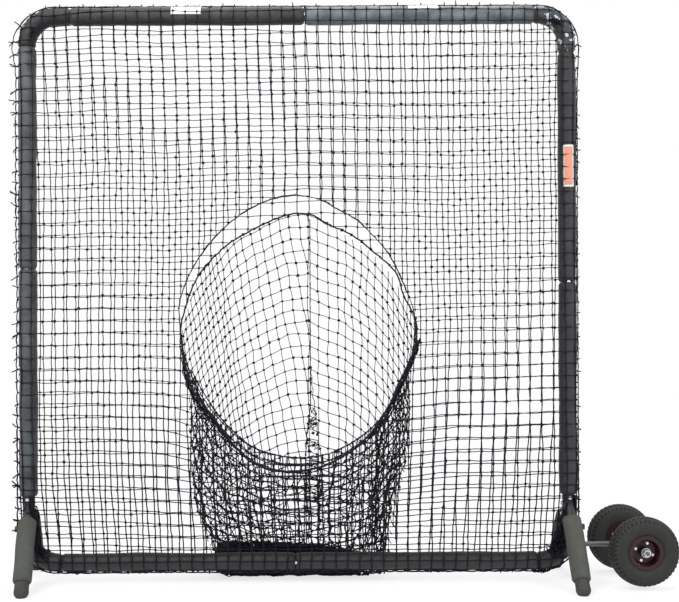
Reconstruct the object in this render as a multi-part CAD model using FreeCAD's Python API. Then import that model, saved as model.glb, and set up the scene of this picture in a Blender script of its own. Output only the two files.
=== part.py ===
"""Pitching target net: a square padded tube screen with a sock net, on splayed legs, with a wheel kit.

All sizes are millimetres. The model is laid out about the middle of the screen: X to the right,
Y away from the pitcher, Z up from the ground. It is moved at the end so that its origin is the
bottom centre of its own box.
"""
import FreeCAD, Part
import math
import os

Vector = FreeCAD.Vector
X_AXIS = Vector(1, 0, 0)
Y_AXIS = Vector(0, 1, 0)
Z_AXIS = Vector(0, 0, 1)

# Clearances
SLIDE_GAP = 0.3
FOAM_GAP = 0.3
SOFT_GAP = 0.3
HOLE_GAP = 0.2
SEAT_GAP = 0.05
RUNNING_GAP = 0.05
SIDE_PLAY = 0.3

# Screen, measured between tube centres
SCREEN_WIDTH = 2056.0
SCREEN_HEIGHT = 2079.5
RAIL_HEIGHT = 77.5
BEND_RADIUS = 110.0
TUBE_RADIUS = 19.05
TUBE_WALL = 2.0
SPIGOT_LENGTH = 80.0
SWAGE_LENGTH = 8.0
SOCKET_PAST_BOLT = 25.0

# Where the tubes join, from the middle of each side
JOINT_TOP_SHIFT = 30.0
JOINT_BOTTOM_SHIFT = -13.0
JOINT_LEFT_RISE = 78.0
JOINT_RIGHT_RISE = 20.0

# Foam padding
PAD_RADIUS = 34.0
PAD_JOINT_GAP = 16.0
PAD_BUTT_GAP = 1.5
PAD_TAPER = 5.0
PAD_TAPER_LENGTH = 9.0
PAD_POST_ARM = {"top_left": 6.0, "top_right": 34.0}
PAD_RAIL_ARM = {"top_left": 56.0, "top_right": 14.0, "bottom_left": 14.0, "bottom_right": 8.0}
PAD_BEND_START = 25.0

# Leg sockets and legs
LEG_ANGLE = 51.0
LEG_APEX_HEIGHT = 305.0
LEG_TURN = {-1: 8.2, 1: 1.3}  # how far the left and right pairs are turned about their posts
COLLAR_WALL = 3.0
COLLAR_BOTTOM = 240.0
COLLAR_TOP = 330.0
COLLAR_BOLT_HEIGHT = 319.0
STUB_RADIUS = 19.05
STUB_WALL = 2.5
STUB_END = 170.0
LEG_WALL = 2.9
LEG_TOP = 66.0
LEG_PAD_TOP = 84.0
TIP_RADIUS = 26.0
TIP_SOLE = 30.0
TIP_LENGTH = 58.0
FOOT_BALL = 27.0
FOOT_BALL_HEIGHT = 20.0
LEG_SCREW_PLACE = 112.0
LEG_SCREW_POINT = 4.0
KNOB_RADIUS = 11.0
KNOB_HEIGHT = 9.0
KNOB_LOBES = 6
KNOB_NOTCH = 2.2

# Fasteners
BOLT_RADIUS = 4.0
BOLT_LENGTH = 50.0
ARM_BOLT_LENGTH = 58.0
HEAD_RADIUS = 7.0
HEAD_HEIGHT = 5.3
NUT_RADIUS = 7.5
NUT_HEIGHT = 5.0

# Wheel kit
WHEEL_GAP = 78.0
AXLE_HEIGHT = 139.0
AXLE_RADIUS = 8.0
AXLE_PAST_NUT = 4.0
AXLE_NUT_RADIUS = 13.0
AXLE_NUT_HEIGHT = 10.0
WASHER_RADIUS = 15.0
WASHER_HEIGHT = 2.5
ARM_RADIUS = 9.5
CROSS_TUBE_RADIUS = 14.0
PLATE_THICKNESS = 6.0
PLATE_WIDTH = 40.0
PLATE_BOTTOM = 120.0
PLATE_TOP = 326.0
ARM_BOLT_HEIGHTS = (256.0, 296.0)
WHEEL_OFFSET = 145.0
TYRE_RADIUS = 128.0
TYRE_HALF_WIDTH = 42.0
TYRE_WALL = 5.0
TYRE_TREAD = 11.0
TYRE_LIP = 2.0
TYRE_SIDE_RISE = 4.0
TYRE_SIDE_NARROW = 5.0
TYRE_BELLY_FLAT = 18.0
TYRE_SHOULDER_DROP = 10.0
TYRE_SHOULDER_NARROW = 6.0
TYRE_CROWN_DROP = 4.0
TYRE_CROWN_NARROW = 13.5
TREAD_GROOVE = 5.0
GROOVE_OUTSIDE = 17.0
GROOVE_INSIDE = 11.0
GROOVE_DRAFT = 1.0
BEAD_RADIUS = 51.0
BEAD_HUMP = 1.0
BEAD_SEAT = 7.0
RIM_HALF_WIDTH = 33.0
RIM_FLANGE_RADIUS = 63.0
RIM_WELL_RADIUS = 42.0
RIM_WELL_RAMP = 5.0
RIM_SHEET = 2.0
RIM_BOLT_CIRCLE = 33.0
RIM_BOLTS = 4
RIM_BOLT_TURN = 70.0
RIM_BOLT_RADIUS = 3.0
RIM_BOLT_PAST_NUT = 1.0
RIM_HEAD_RADIUS = 5.5
RIM_HEAD_HEIGHT = 4.0
HUB_RADIUS = 20.0
HUB_LENGTH = 60.0
HUB_FLANGE_RADIUS = 40.0
HUB_FLANGE = 3.0
HUB_SHOULDER = 3.0
BEARING_RADIUS = 17.5
BEARING_WIDTH = 11.0
BEARING_RACE = 3.0
BEARING_SEAL_DIP = 1.0
AIR_TUBE_SIDES = 12
AIR_TUBE_GAP = 3.5
TUBE_SKIN = 2.0
VALVE_RADIUS = 4.0
VALVE_LENGTH = 20.0
VALVE_OFFSET = 15.0

# Net
NET_THICKNESS = 3.0
NET_STRAND = 6.0
NET_COLUMNS = 12
NET_ROWS = 12
NET_HEM = 8.0
SMALLEST_GAP = 12.0
NOTCH_WIDTH = 50.0
NOTCH_TOP = 345.0
EDGE_CORD_RADIUS = 3.0
RING_ROPE_RADIUS = 6.0
BACK_ROPE_RADIUS = 5.0
FRONT_RING_HEIGHT = 910.0
FRONT_RING_HALF_WIDTH = 439.0
FRONT_RING_HALF_HEIGHT = 483.0
BACK_RING_HEIGHT = 970.0
BACK_RING_HALF_WIDTH = 456.0
BACK_RING_HALF_HEIGHT = 496.0
RING_BAND = 14.0

# Sock: it hangs from the back hole, whose rope it clears by THROAT_GAP, down to the ground
SOCK_WALL = 4.0
SOCK_MOUTH_LIP = 1.0
SOCK_STEP = 1.0
SOCK_SEAM = 115.0
SOCK_GROUND_GAP = 5.0
SOCK_DEPTH = 440.0
SOCK_DROP_HEIGHT = 130.0
SOCK_END_LIFT = 24.0
SOCK_POINTS = 20
THROAT_GAP = 6.0

# Sock behind the throat: share of the way back, and how much narrower and lower its top is there,
# with the squareness of its lower half. Its back hangs steeply and its end trails on the ground.
SOCK_STEPS = (
    (0.067, 8.0, 130.0, 3.0),
    (0.155, 24.0, 320.0, 4.0),
    (0.30, 40.0, 590.0, 4.5),
    (0.48, 56.0, 860.0, 4.5),
    (0.70, 90.0, 1100.0, 4.0),
    (0.87, 150.0, 1255.0, 3.5),
    (1.0, 230.0, 1350.0, 3.0),
)

# Worked out from the sizes above
HALF_WIDTH = SCREEN_WIDTH / 2
TOP_RAIL = RAIL_HEIGHT + SCREEN_HEIGHT
MID_HEIGHT = RAIL_HEIGHT + SCREEN_HEIGHT / 2
TUBE_BORE = TUBE_RADIUS - TUBE_WALL
AXLE_REACH = HALF_WIDTH + PAD_RADIUS + WHEEL_GAP + TYRE_RADIUS
COLLAR_BORE = TUBE_RADIUS + SLIDE_GAP
COLLAR_RADIUS = COLLAR_BORE + COLLAR_WALL
LEG_BORE = STUB_RADIUS + SLIDE_GAP
LEG_RADIUS = LEG_BORE + LEG_WALL
LEG_LENGTH = LEG_APEX_HEIGHT / math.sin(math.radians(LEG_ANGLE))
FOOT_PLACE = LEG_LENGTH - FOOT_BALL_HEIGHT / math.sin(math.radians(LEG_ANGLE))
FOOT_REACH = FOOT_PLACE * math.cos(math.radians(LEG_ANGLE))
NET_INNER = PAD_RADIUS + SOFT_GAP
NET_OUTER = NET_INNER + NET_THICKNESS
EDGE_CORD_OFFSET = NET_OUTER + SOFT_GAP + EDGE_CORD_RADIUS
PLATE_FACE = HALF_WIDTH + COLLAR_RADIUS + SEAT_GAP
LEFT_TURN = math.sin(math.radians(abs(LEG_TURN[-1])))
LEFT_FOOT_OUT = FOOT_REACH * LEFT_TURN + FOOT_BALL
LEFT_LEAN = LEFT_TURN * math.cos(math.radians(LEG_ANGLE))
SLEEVE_PLACE = LEG_LENGTH - TIP_LENGTH - PAD_BUTT_GAP - PAD_TAPER_LENGTH
LEFT_SLEEVE_OUT = SLEEVE_PLACE * LEFT_LEAN + PAD_RADIUS * math.sqrt(1 - LEFT_LEAN ** 2)
BOX_LEFT = -HALF_WIDTH - max(LEFT_FOOT_OUT, LEFT_SLEEVE_OUT, EDGE_CORD_OFFSET + EDGE_CORD_RADIUS)
BOX_RIGHT = AXLE_REACH + TYRE_RADIUS
BOX_FRONT = -FOOT_REACH * max(math.cos(math.radians(turn)) for turn in LEG_TURN.values()) - FOOT_BALL
BOX_BACK = SOCK_DEPTH
SHIFT = Vector(-(BOX_LEFT + BOX_RIGHT) / 2, -(BOX_FRONT + BOX_BACK) / 2, 0)


def save(name, shape):
    """Move a piece to the model's origin and write it."""
    placed = shape.copy()
    placed.translate(SHIFT)
    placed.exportStep("parts/" + name + ".step")


def rod(start, end, radius):
    """A round bar between two points."""
    along = end.sub(start)
    return Part.makeCylinder(radius, along.Length, start, along)


def at(x, z):
    """A point in the screen's own plane."""
    return Vector(x, 0, z)


def line(start, end):
    """A straight edge."""
    return Part.LineSegment(start, end).toShape()


def arc(start, middle, end):
    """A round edge through three points."""
    return Part.Arc(start, middle, end).toShape()


def pipe(path, radius):
    """A round bar along a wire of lines and arcs."""
    first = path.OrderedEdges[0]
    start = first.valueAt(first.FirstParameter)
    ahead = first.tangentAt(first.FirstParameter)
    ring = Part.Wire([Part.makeCircle(radius, start, ahead)])
    return path.makePipeShell([ring], True, False)


def hexagon(centre, direction, radius, height):
    """A hexagonal head or nut: radius is across its corners, halved."""
    turn = FreeCAD.Rotation(Z_AXIS, direction)
    corners = []
    for step in range(7):
        angle = math.radians(60 * step)
        corner = Vector(radius * math.cos(angle), radius * math.sin(angle), 0)
        corners.append(centre.add(turn.multVec(corner)))
    face = Part.Face(Part.makePolygon(corners))
    return face.extrude(Vector(direction).multiply(height))


def bolt(seat, direction, length):
    """A hex bolt whose head stands on seat and whose shank runs along direction."""
    back = Vector(direction).multiply(-1)
    head = hexagon(seat, back, HEAD_RADIUS, HEAD_HEIGHT)
    shank = rod(seat, seat.add(Vector(direction).multiply(length)), BOLT_RADIUS)
    return head.fuse(shank).removeSplitter()


def nut(seat, direction, radius, height, bore):
    """A nut that stands on seat and reaches height along direction."""
    body = hexagon(seat, direction, radius, height)
    end = seat.add(Vector(direction).multiply(height))
    return body.cut(rod(seat, end, bore))


def turned(points, centre):
    """A ring turned about the Y axis through centre, from (radius, y) points."""
    corners = [Vector(radius, y, 0) for radius, y in points]
    face = Part.Face(Part.makePolygon(corners + [corners[0]]))
    ring = face.revolve(Vector(0, 0, 0), Y_AXIS, 360)
    ring.translate(centre)
    return ring


# Frame tubes: an L of tube for each corner, whose swaged end plugs into the next one

def corner_path(side, level, start, end, radius):
    """A post, a bend and a rail in the plane of the screen.

    side is -1 on the left and 1 on the right, level is -1 at the bottom and 1 at the top, start is
    the height where the post begins and end is the X where the rail ends.
    """
    post_x = side * HALF_WIDTH
    rail_z = TOP_RAIL if level > 0 else RAIL_HEIGHT
    below = at(post_x, rail_z - level * radius)
    across = at(post_x - side * radius, rail_z)
    half = radius * math.sqrt(0.5)
    middle = at(post_x - side * (radius - half), rail_z - level * (radius - half))
    bend = arc(below, middle, across)
    return Part.Wire([line(at(post_x, start), below), bend, line(across, at(end, rail_z))])


JOINTS = {
    "top": Vector(JOINT_TOP_SHIFT, 0, TOP_RAIL),
    "bottom": Vector(JOINT_BOTTOM_SHIFT, 0, RAIL_HEIGHT),
    "left": Vector(-HALF_WIDTH, 0, MID_HEIGHT + JOINT_LEFT_RISE),
    "right": Vector(HALF_WIDTH, 0, MID_HEIGHT + JOINT_RIGHT_RISE),
}


SHOULDER = SOCKET_PAST_BOLT + SEAT_GAP


def spigot(joint, towards):
    """The swaged end of a tube and its bore: it starts inside the tube that it is drawn from."""
    root = joint.sub(Vector(towards).multiply(SHOULDER + SWAGE_LENGTH))
    end = joint.add(Vector(towards).multiply(SPIGOT_LENGTH - SOCKET_PAST_BOLT))
    outer = TUBE_BORE - SLIDE_GAP
    return rod(root, end, outer), rod(root, end, outer - TUBE_WALL)


def frame_tube(side, level):
    """One bent tube: a plain socket at one end and a swaged spigot at the other."""
    post_joint = JOINTS["left" if side < 0 else "right"]
    rail_joint = JOINTS["top" if level > 0 else "bottom"]
    if side == level:
        start = post_joint.z + level * SHOULDER
        end = rail_joint.x - side * SOCKET_PAST_BOLT
        room = (start + level * SWAGE_LENGTH, end)
        plug, bore = spigot(post_joint, Vector(0, 0, -level))
    else:
        start = post_joint.z - level * SOCKET_PAST_BOLT
        end = rail_joint.x + side * SHOULDER
        room = (start, end + side * SWAGE_LENGTH)
        plug, bore = spigot(rail_joint, Vector(-side, 0, 0))
    outside = pipe(corner_path(side, level, start, end, BEND_RADIUS), TUBE_RADIUS)
    inside = pipe(corner_path(side, level, room[0], room[1], BEND_RADIUS), TUBE_BORE)
    tube = outside.cut(inside).fuse(plug).cut(bore)
    for joint in (post_joint, rail_joint):
        tube = tube.cut(bolt_hole(joint))
    if level < 0:
        tube = tube.cut(collar_holes(side))
    return tube


def bolt_hole(place):
    """A hole along Y for an M8 bolt."""
    reach = Vector(0, COLLAR_RADIUS + BOLT_LENGTH, 0)
    return rod(place.sub(reach), place.add(reach), BOLT_RADIUS + HOLE_GAP)


def collar_holes(side):
    """The holes through post and collar: one along Y and, on the right, two along X."""
    holes = bolt_hole(Vector(side * HALF_WIDTH, 0, COLLAR_BOLT_HEIGHT))
    if side > 0:
        for height in ARM_BOLT_HEIGHTS:
            middle = Vector(HALF_WIDTH, 0, height)
            reach = Vector(2 * COLLAR_RADIUS, 0, 0)
            cross = rod(middle.sub(reach), middle.add(reach), BOLT_RADIUS + HOLE_GAP)
            holes = holes.fuse(cross)
    return holes


def frame_bolts():
    """Bolts through the four joints and the two collars, and their nuts."""
    bolts = []
    nuts = []
    places = [(joint, TUBE_RADIUS) for joint in JOINTS.values()]
    for side in (-1, 1):
        places.append((Vector(side * HALF_WIDTH, 0, COLLAR_BOLT_HEIGHT), COLLAR_RADIUS))
    for place, radius in places:
        front = place.sub(Vector(0, radius + SEAT_GAP, 0))
        back = place.add(Vector(0, radius + SEAT_GAP, 0))
        bolts.append(bolt(front, Y_AXIS, BOLT_LENGTH))
        nuts.append(nut(back, Y_AXIS, NUT_RADIUS, NUT_HEIGHT, BOLT_RADIUS + SEAT_GAP))
    return Part.makeCompound(bolts), Part.makeCompound(nuts)


# Foam pads: straight sleeves with softened ends, and bent sleeves on the corners

PAD_BORE = TUBE_RADIUS + FOAM_GAP


def foam_end(radius):
    """How far a pad's end is drawn in."""
    return radius - PAD_TAPER


def straight_pad(start, end, radius, bore):
    """A foam sleeve whose ends taper."""
    length = end.sub(start).Length
    profile = [
        Vector(bore, 0, 0),
        Vector(foam_end(radius), 0, 0),
        Vector(radius, 0, PAD_TAPER_LENGTH),
        Vector(radius, 0, length - PAD_TAPER_LENGTH),
        Vector(foam_end(radius), 0, length),
        Vector(bore, 0, length),
    ]
    face = Part.Face(Part.makePolygon(profile + [profile[0]]))
    sleeve = face.revolve(Vector(0, 0, 0), Z_AXIS, 360)
    turn = FreeCAD.Rotation(Z_AXIS, end.sub(start))
    sleeve.Placement = FreeCAD.Placement(start, turn)
    return sleeve


def corner_pad(side, level):
    """A foam sleeve on a bend. The bottom ones start part of the way down the bend."""
    name = corner_name(side, level)
    rail_end = side * (HALF_WIDTH - BEND_RADIUS - PAD_RAIL_ARM[name])
    if level > 0:
        post_end = TOP_RAIL - BEND_RADIUS - PAD_POST_ARM[name]
        path = corner_path(side, level, post_end, rail_end, BEND_RADIUS)
    else:
        centre = Vector(side * (HALF_WIDTH - BEND_RADIUS), 0, RAIL_HEIGHT + BEND_RADIUS)
        points = []
        for angle in (PAD_BEND_START, (PAD_BEND_START + 90) / 2, 90):
            across = side * math.cos(math.radians(angle))
            down = -math.sin(math.radians(angle))
            points.append(centre.add(Vector(BEND_RADIUS * across, 0, BEND_RADIUS * down)))
        path = Part.Wire([arc(*points), line(points[2], at(rail_end, RAIL_HEIGHT))])
    return pipe(path, PAD_RADIUS).cut(pipe(path, PAD_BORE))


def corner_name(side, level):
    """top_left and so on."""
    return ("top" if level > 0 else "bottom") + ("_left" if side < 0 else "_right")


def pads():
    """All the foam on the frame, by name."""
    made = {}
    for side, side_name in ((-1, "left"), (1, "right")):
        joint = JOINTS[side_name]
        post = Vector(side * HALF_WIDTH, 0, 0)
        top_end = TOP_RAIL - BEND_RADIUS - PAD_POST_ARM["top_" + side_name] - PAD_BUTT_GAP
        upper = Vector(post.x, 0, joint.z + PAD_JOINT_GAP / 2)
        lower = Vector(post.x, 0, joint.z - PAD_JOINT_GAP / 2)
        foot = Vector(post.x, 0, COLLAR_TOP + PAD_BUTT_GAP)
        made["pad_" + side_name + "_upper"] = straight_pad(
            upper, Vector(post.x, 0, top_end), PAD_RADIUS, PAD_BORE)
        made["pad_" + side_name + "_lower"] = straight_pad(foot, lower, PAD_RADIUS, PAD_BORE)
        for level, level_name in ((-1, "bottom"), (1, "top")):
            rail_joint = JOINTS[level_name]
            near = rail_joint.x + side * PAD_JOINT_GAP / 2
            arm = PAD_RAIL_ARM[level_name + "_" + side_name]
            far = side * (HALF_WIDTH - BEND_RADIUS - arm - PAD_BUTT_GAP)
            made["pad_" + level_name + "_" + side_name] = straight_pad(
                Vector(near, 0, rail_joint.z), Vector(far, 0, rail_joint.z), PAD_RADIUS, PAD_BORE)
            made["pad_corner_" + corner_name(side, level)] = corner_pad(side, level)
    return made


# Legs: a collar on each post carries a front and a rear stub, and a leg slides on each stub

def leg_point(side, front, place):
    """A point on a leg's axis, place millimetres from the post's axis. front is -1 or 1.

    Each pair is turned a little about its post, with the front leg inwards.
    """
    turn = math.radians(LEG_TURN[side])
    along = front * math.cos(math.radians(LEG_ANGLE)) * place
    down = math.sin(math.radians(LEG_ANGLE)) * place
    return Vector(
        side * (HALF_WIDTH + along * math.sin(turn)), along * math.cos(turn), LEG_APEX_HEIGHT - down)


def leg_outward(side):
    """The level direction square to a pair of legs, away from the screen."""
    turn = math.radians(LEG_TURN[side])
    return Vector(side * math.cos(turn), -math.sin(turn), 0)


def leg_screw_hole(side, front, radius):
    """The hole for a thumb screw, from inside the stub outwards."""
    inside = leg_point(side, front, LEG_SCREW_PLACE)
    outside = inside.add(leg_outward(side).multiply(PAD_RADIUS + KNOB_HEIGHT))
    return rod(inside, outside, radius)


def leg_socket(side):
    """The collar with its two stubs, welded into one piece."""
    foot = Vector(side * HALF_WIDTH, 0, COLLAR_BOTTOM)
    head = Vector(side * HALF_WIDTH, 0, COLLAR_TOP)
    collar = rod(foot, head, COLLAR_RADIUS)
    above = foot.add(Vector(0, 0, -LEG_APEX_HEIGHT))
    below = head.add(Vector(0, 0, LEG_APEX_HEIGHT))
    post_room = rod(above, below, COLLAR_RADIUS)
    socket = collar
    for front in (-1, 1):
        start = leg_point(side, front, 0)
        end = leg_point(side, front, STUB_END)
        stub = rod(start, end, STUB_RADIUS).cut(rod(start, end, STUB_RADIUS - STUB_WALL))
        socket = socket.fuse(stub.cut(post_room))
        socket = socket.cut(leg_screw_hole(side, front, BOLT_RADIUS + HOLE_GAP))
    socket = socket.cut(rod(above, below, COLLAR_BORE))
    return socket.cut(collar_holes(side))


def leg_tube(side, front):
    """A leg: it slides over its stub and ends inside its rubber tip."""
    top = leg_point(side, front, LEG_TOP)
    end = leg_point(side, front, LEG_LENGTH - TIP_SOLE)
    tube = rod(top, end, LEG_RADIUS).cut(rod(top, end, LEG_BORE))
    return tube.cut(leg_screw_hole(side, front, BOLT_RADIUS + HOLE_GAP))


def leg_pad(side, front):
    """The foam sleeve on a leg."""
    top = leg_point(side, front, LEG_PAD_TOP)
    end = leg_point(side, front, LEG_LENGTH - TIP_LENGTH - PAD_BUTT_GAP)
    sleeve = straight_pad(top, end, PAD_RADIUS, LEG_RADIUS + FOAM_GAP)
    return sleeve.cut(leg_screw_hole(side, front, BOLT_RADIUS + FOAM_GAP))


def foot_tip(side, front):
    """A rubber tip with a ball end and a level sole."""
    top = leg_point(side, front, LEG_LENGTH - TIP_LENGTH)
    centre = leg_point(side, front, FOOT_PLACE)
    seat = leg_point(side, front, LEG_LENGTH - TIP_SOLE + SEAT_GAP)
    reach = 4 * TIP_RADIUS
    corner = Vector(centre.x - reach, centre.y - reach, -reach)
    ground = Part.makeBox(2 * reach, 2 * reach, reach, corner)
    tip = rod(top, centre, TIP_RADIUS).fuse(Part.makeSphere(FOOT_BALL, centre)).cut(ground)
    return tip.cut(rod(top, seat, LEG_RADIUS + SEAT_GAP))


def thumb_screw(side, front):
    """A lobed knob outside the foam, with a shank that ends inside the stub."""
    outward = leg_outward(side)
    across = outward.cross(Z_AXIS)
    axis_point = leg_point(side, front, LEG_SCREW_PLACE)
    seat = axis_point.add(Vector(outward).multiply(PAD_RADIUS + FOAM_GAP))
    knob = rod(seat, seat.add(Vector(outward).multiply(KNOB_HEIGHT)), KNOB_RADIUS)
    for lobe in range(KNOB_LOBES):
        angle = 2 * math.pi * lobe / KNOB_LOBES
        low = seat.add(Vector(across).multiply(KNOB_RADIUS * math.cos(angle)))
        low = low.add(Vector(0, 0, KNOB_RADIUS * math.sin(angle)))
        knob = knob.cut(rod(low, low.add(Vector(outward).multiply(KNOB_HEIGHT)), KNOB_NOTCH))
    inner = axis_point.add(Vector(outward).multiply(STUB_RADIUS - STUB_WALL - LEG_SCREW_POINT))
    return knob.fuse(rod(inner, seat, BOLT_RADIUS))


# Wheel kit: a bolted plate, an arm and a cross tube, with a wheel at each end of the axle

def wheel_arm():
    """The plate on the collar, the arm and the cross tube that holds the axle."""
    plate = Part.makeBox(
        PLATE_THICKNESS, PLATE_WIDTH, PLATE_TOP - PLATE_BOTTOM,
        Vector(PLATE_FACE, -PLATE_WIDTH / 2, PLATE_BOTTOM))
    arm = rod(
        Vector(PLATE_FACE + PLATE_THICKNESS / 2, 0, AXLE_HEIGHT),
        Vector(AXLE_REACH, 0, AXLE_HEIGHT), ARM_RADIUS)
    half = CROSS_HALF_LENGTH
    cross = rod(
        Vector(AXLE_REACH, -half, AXLE_HEIGHT), Vector(AXLE_REACH, half, AXLE_HEIGHT),
        CROSS_TUBE_RADIUS)
    bore = rod(
        Vector(AXLE_REACH, -half, AXLE_HEIGHT), Vector(AXLE_REACH, half, AXLE_HEIGHT),
        AXLE_RADIUS + SLIDE_GAP)
    welded = plate.fuse(arm).fuse(cross).cut(bore)
    return welded.cut(collar_holes(1))


def wheel_arm_fasteners():
    """The two bolts through plate, collar and post, and their nuts."""
    bolts = []
    nuts = []
    for height in ARM_BOLT_HEIGHTS:
        seat = Vector(PLATE_FACE + PLATE_THICKNESS, 0, height)
        bolts.append(bolt(seat, Vector(-1, 0, 0), ARM_BOLT_LENGTH))
        far = Vector(HALF_WIDTH - COLLAR_RADIUS - SEAT_GAP, 0, height)
        nuts.append(nut(far, Vector(-1, 0, 0), NUT_RADIUS, NUT_HEIGHT, BOLT_RADIUS + SEAT_GAP))
    return Part.makeCompound(bolts), Part.makeCompound(nuts)


HUB_IN = WHEEL_OFFSET - HUB_LENGTH / 2
HUB_OUT = WHEEL_OFFSET + HUB_LENGTH / 2
CROSS_HALF_LENGTH = HUB_IN - 2 * SIDE_PLAY - WASHER_HEIGHT
NUT_SEAT = HUB_OUT + 2 * SIDE_PLAY + WASHER_HEIGHT


def axle_parts():
    """The axle, the four washers beside the hubs and the two end nuts."""
    end = NUT_SEAT + AXLE_NUT_HEIGHT + AXLE_PAST_NUT
    centre = Vector(AXLE_REACH, 0, AXLE_HEIGHT)
    axle = rod(centre.sub(Vector(0, end, 0)), centre.add(Vector(0, end, 0)), AXLE_RADIUS)
    washers = []
    nuts = []
    for way in (-1, 1):
        outward = Vector(0, way, 0)
        for start in (CROSS_HALF_LENGTH + SIDE_PLAY, HUB_OUT + SIDE_PLAY):
            near = centre.add(Vector(outward).multiply(start))
            far = centre.add(Vector(outward).multiply(start + WASHER_HEIGHT))
            disc = rod(near, far, WASHER_RADIUS)
            washers.append(disc.cut(rod(near, far, AXLE_RADIUS + HOLE_GAP)))
        seat = centre.add(Vector(outward).multiply(NUT_SEAT))
        nuts.append(nut(seat, outward, AXLE_NUT_RADIUS, AXLE_NUT_HEIGHT, AXLE_RADIUS + SEAT_GAP))
    return axle, Part.makeCompound(washers), Part.makeCompound(nuts)


def tyre(centre):
    """A pneumatic tyre with two grooves round its tread."""
    belly = (BEAD_RADIUS + TYRE_RADIUS) / 2
    lip = RIM_HALF_WIDTH - RIM_SHEET - SOFT_GAP
    side_low = RIM_FLANGE_RADIUS + TYRE_LIP + TYRE_SIDE_RISE
    side_wide = TYRE_HALF_WIDTH - TYRE_SIDE_NARROW
    groove_floor = TYRE_RADIUS - TREAD_GROOVE
    right = [
        (BEAD_RADIUS + SOFT_GAP, lip),
        (RIM_FLANGE_RADIUS + TYRE_LIP, lip),
        (side_low, side_wide),
        (belly, TYRE_HALF_WIDTH),
        (belly + TYRE_BELLY_FLAT, TYRE_HALF_WIDTH),
        (TYRE_RADIUS - TYRE_SHOULDER_DROP, TYRE_HALF_WIDTH - TYRE_SHOULDER_NARROW),
        (TYRE_RADIUS - TYRE_CROWN_DROP, TYRE_HALF_WIDTH - TYRE_CROWN_NARROW),
        (TYRE_RADIUS, GROOVE_OUTSIDE),
        (groove_floor, GROOVE_OUTSIDE - GROOVE_DRAFT),
        (groove_floor, GROOVE_INSIDE + GROOVE_DRAFT),
        (TYRE_RADIUS, GROOVE_INSIDE),
    ]
    left = [(radius, -y) for radius, y in reversed(right)]
    cavity = [
        (TYRE_RADIUS - TYRE_TREAD, GROOVE_OUTSIDE),
        (belly + TYRE_BELLY_FLAT, TYRE_HALF_WIDTH - TYRE_WALL),
        (belly, TYRE_HALF_WIDTH - TYRE_WALL),
        (side_low, side_wide - TYRE_WALL),
        (BEAD_RADIUS + SOFT_GAP, lip - TYRE_WALL),
    ]
    other = [(radius, -y) for radius, y in reversed(cavity)]
    return turned(right + left + other + cavity, centre)


def inner_tube(centre, out):
    """The air tube, a thin ring, with its valve through the outer rim half."""
    middle = (BEAD_RADIUS + TYRE_RADIUS - TYRE_TREAD) / 2
    half_height = (TYRE_RADIUS - TYRE_TREAD - BEAD_RADIUS) / 2 - AIR_TUBE_GAP
    half_wide = RIM_HALF_WIDTH - RIM_SHEET - TYRE_WALL - AIR_TUBE_GAP
    inside_height = half_height - TUBE_SKIN
    inside_wide = half_wide - TUBE_SKIN
    outline = []
    hollow = []
    for step in range(AIR_TUBE_SIDES):
        angle = 2 * math.pi * step / AIR_TUBE_SIDES
        across = math.sin(angle)
        up = math.cos(angle)
        outline.append((middle + half_height * up, half_wide * across))
        hollow.append((middle + inside_height * up, inside_wide * across))
    ring = turned(outline, centre).cut(turned(hollow, centre))
    rise = inside_height * math.sqrt(1 - (VALVE_OFFSET / inside_wide) ** 2)
    foot = centre.add(Vector(0, out * VALVE_OFFSET, middle - rise))
    head = centre.add(Vector(0, out * VALVE_OFFSET, middle - half_height - VALVE_LENGTH))
    return ring.fuse(rod(foot, head, VALVE_RADIUS))


def rim_half(centre, out, valve):
    """One pressed steel half of the rim: disc, well, bead seat and flange."""
    sheet = RIM_SHEET
    gap = SEAT_GAP / 2
    points = [
        (HUB_RADIUS + SEAT_GAP, gap),
        (RIM_WELL_RADIUS, gap),
        (RIM_WELL_RADIUS + RIM_WELL_RAMP, gap + RIM_WELL_RAMP),
        (BEAD_RADIUS - BEAD_HUMP, RIM_HALF_WIDTH - BEAD_SEAT),
        (BEAD_RADIUS, RIM_HALF_WIDTH - sheet),
        (RIM_FLANGE_RADIUS, RIM_HALF_WIDTH - sheet),
        (RIM_FLANGE_RADIUS, RIM_HALF_WIDTH),
        (BEAD_RADIUS - sheet, RIM_HALF_WIDTH),
        (BEAD_RADIUS - BEAD_HUMP - sheet, RIM_HALF_WIDTH - BEAD_SEAT),
        (RIM_WELL_RADIUS + RIM_WELL_RAMP - sheet, gap + RIM_WELL_RAMP + sheet),
        (RIM_WELL_RADIUS - sheet / 2, gap + sheet),
        (HUB_RADIUS + SEAT_GAP, gap + sheet),
    ]
    half = turned([(radius, out * y) for radius, y in points], centre)
    for hole in rim_bolt_places(centre):
        reach = Vector(0, RIM_HALF_WIDTH, 0)
        half = half.cut(rod(hole.sub(reach), hole.add(reach), RIM_BOLT_RADIUS + HOLE_GAP))
    if valve:
        start = centre.add(Vector(0, out * VALVE_OFFSET, 0))
        top = start.add(Vector(0, 0, RIM_FLANGE_RADIUS))
        half = half.cut(rod(start, top, VALVE_RADIUS + HOLE_GAP))
    return half


def rim_bolt_places(centre):
    """The rim bolts' places on their circle."""
    places = []
    for step in range(RIM_BOLTS):
        angle = math.radians(RIM_BOLT_TURN + 360 * step / RIM_BOLTS)
        across = RIM_BOLT_CIRCLE * math.cos(angle)
        up = RIM_BOLT_CIRCLE * math.sin(angle)
        places.append(centre.add(Vector(across, 0, up)))
    return places


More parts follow.
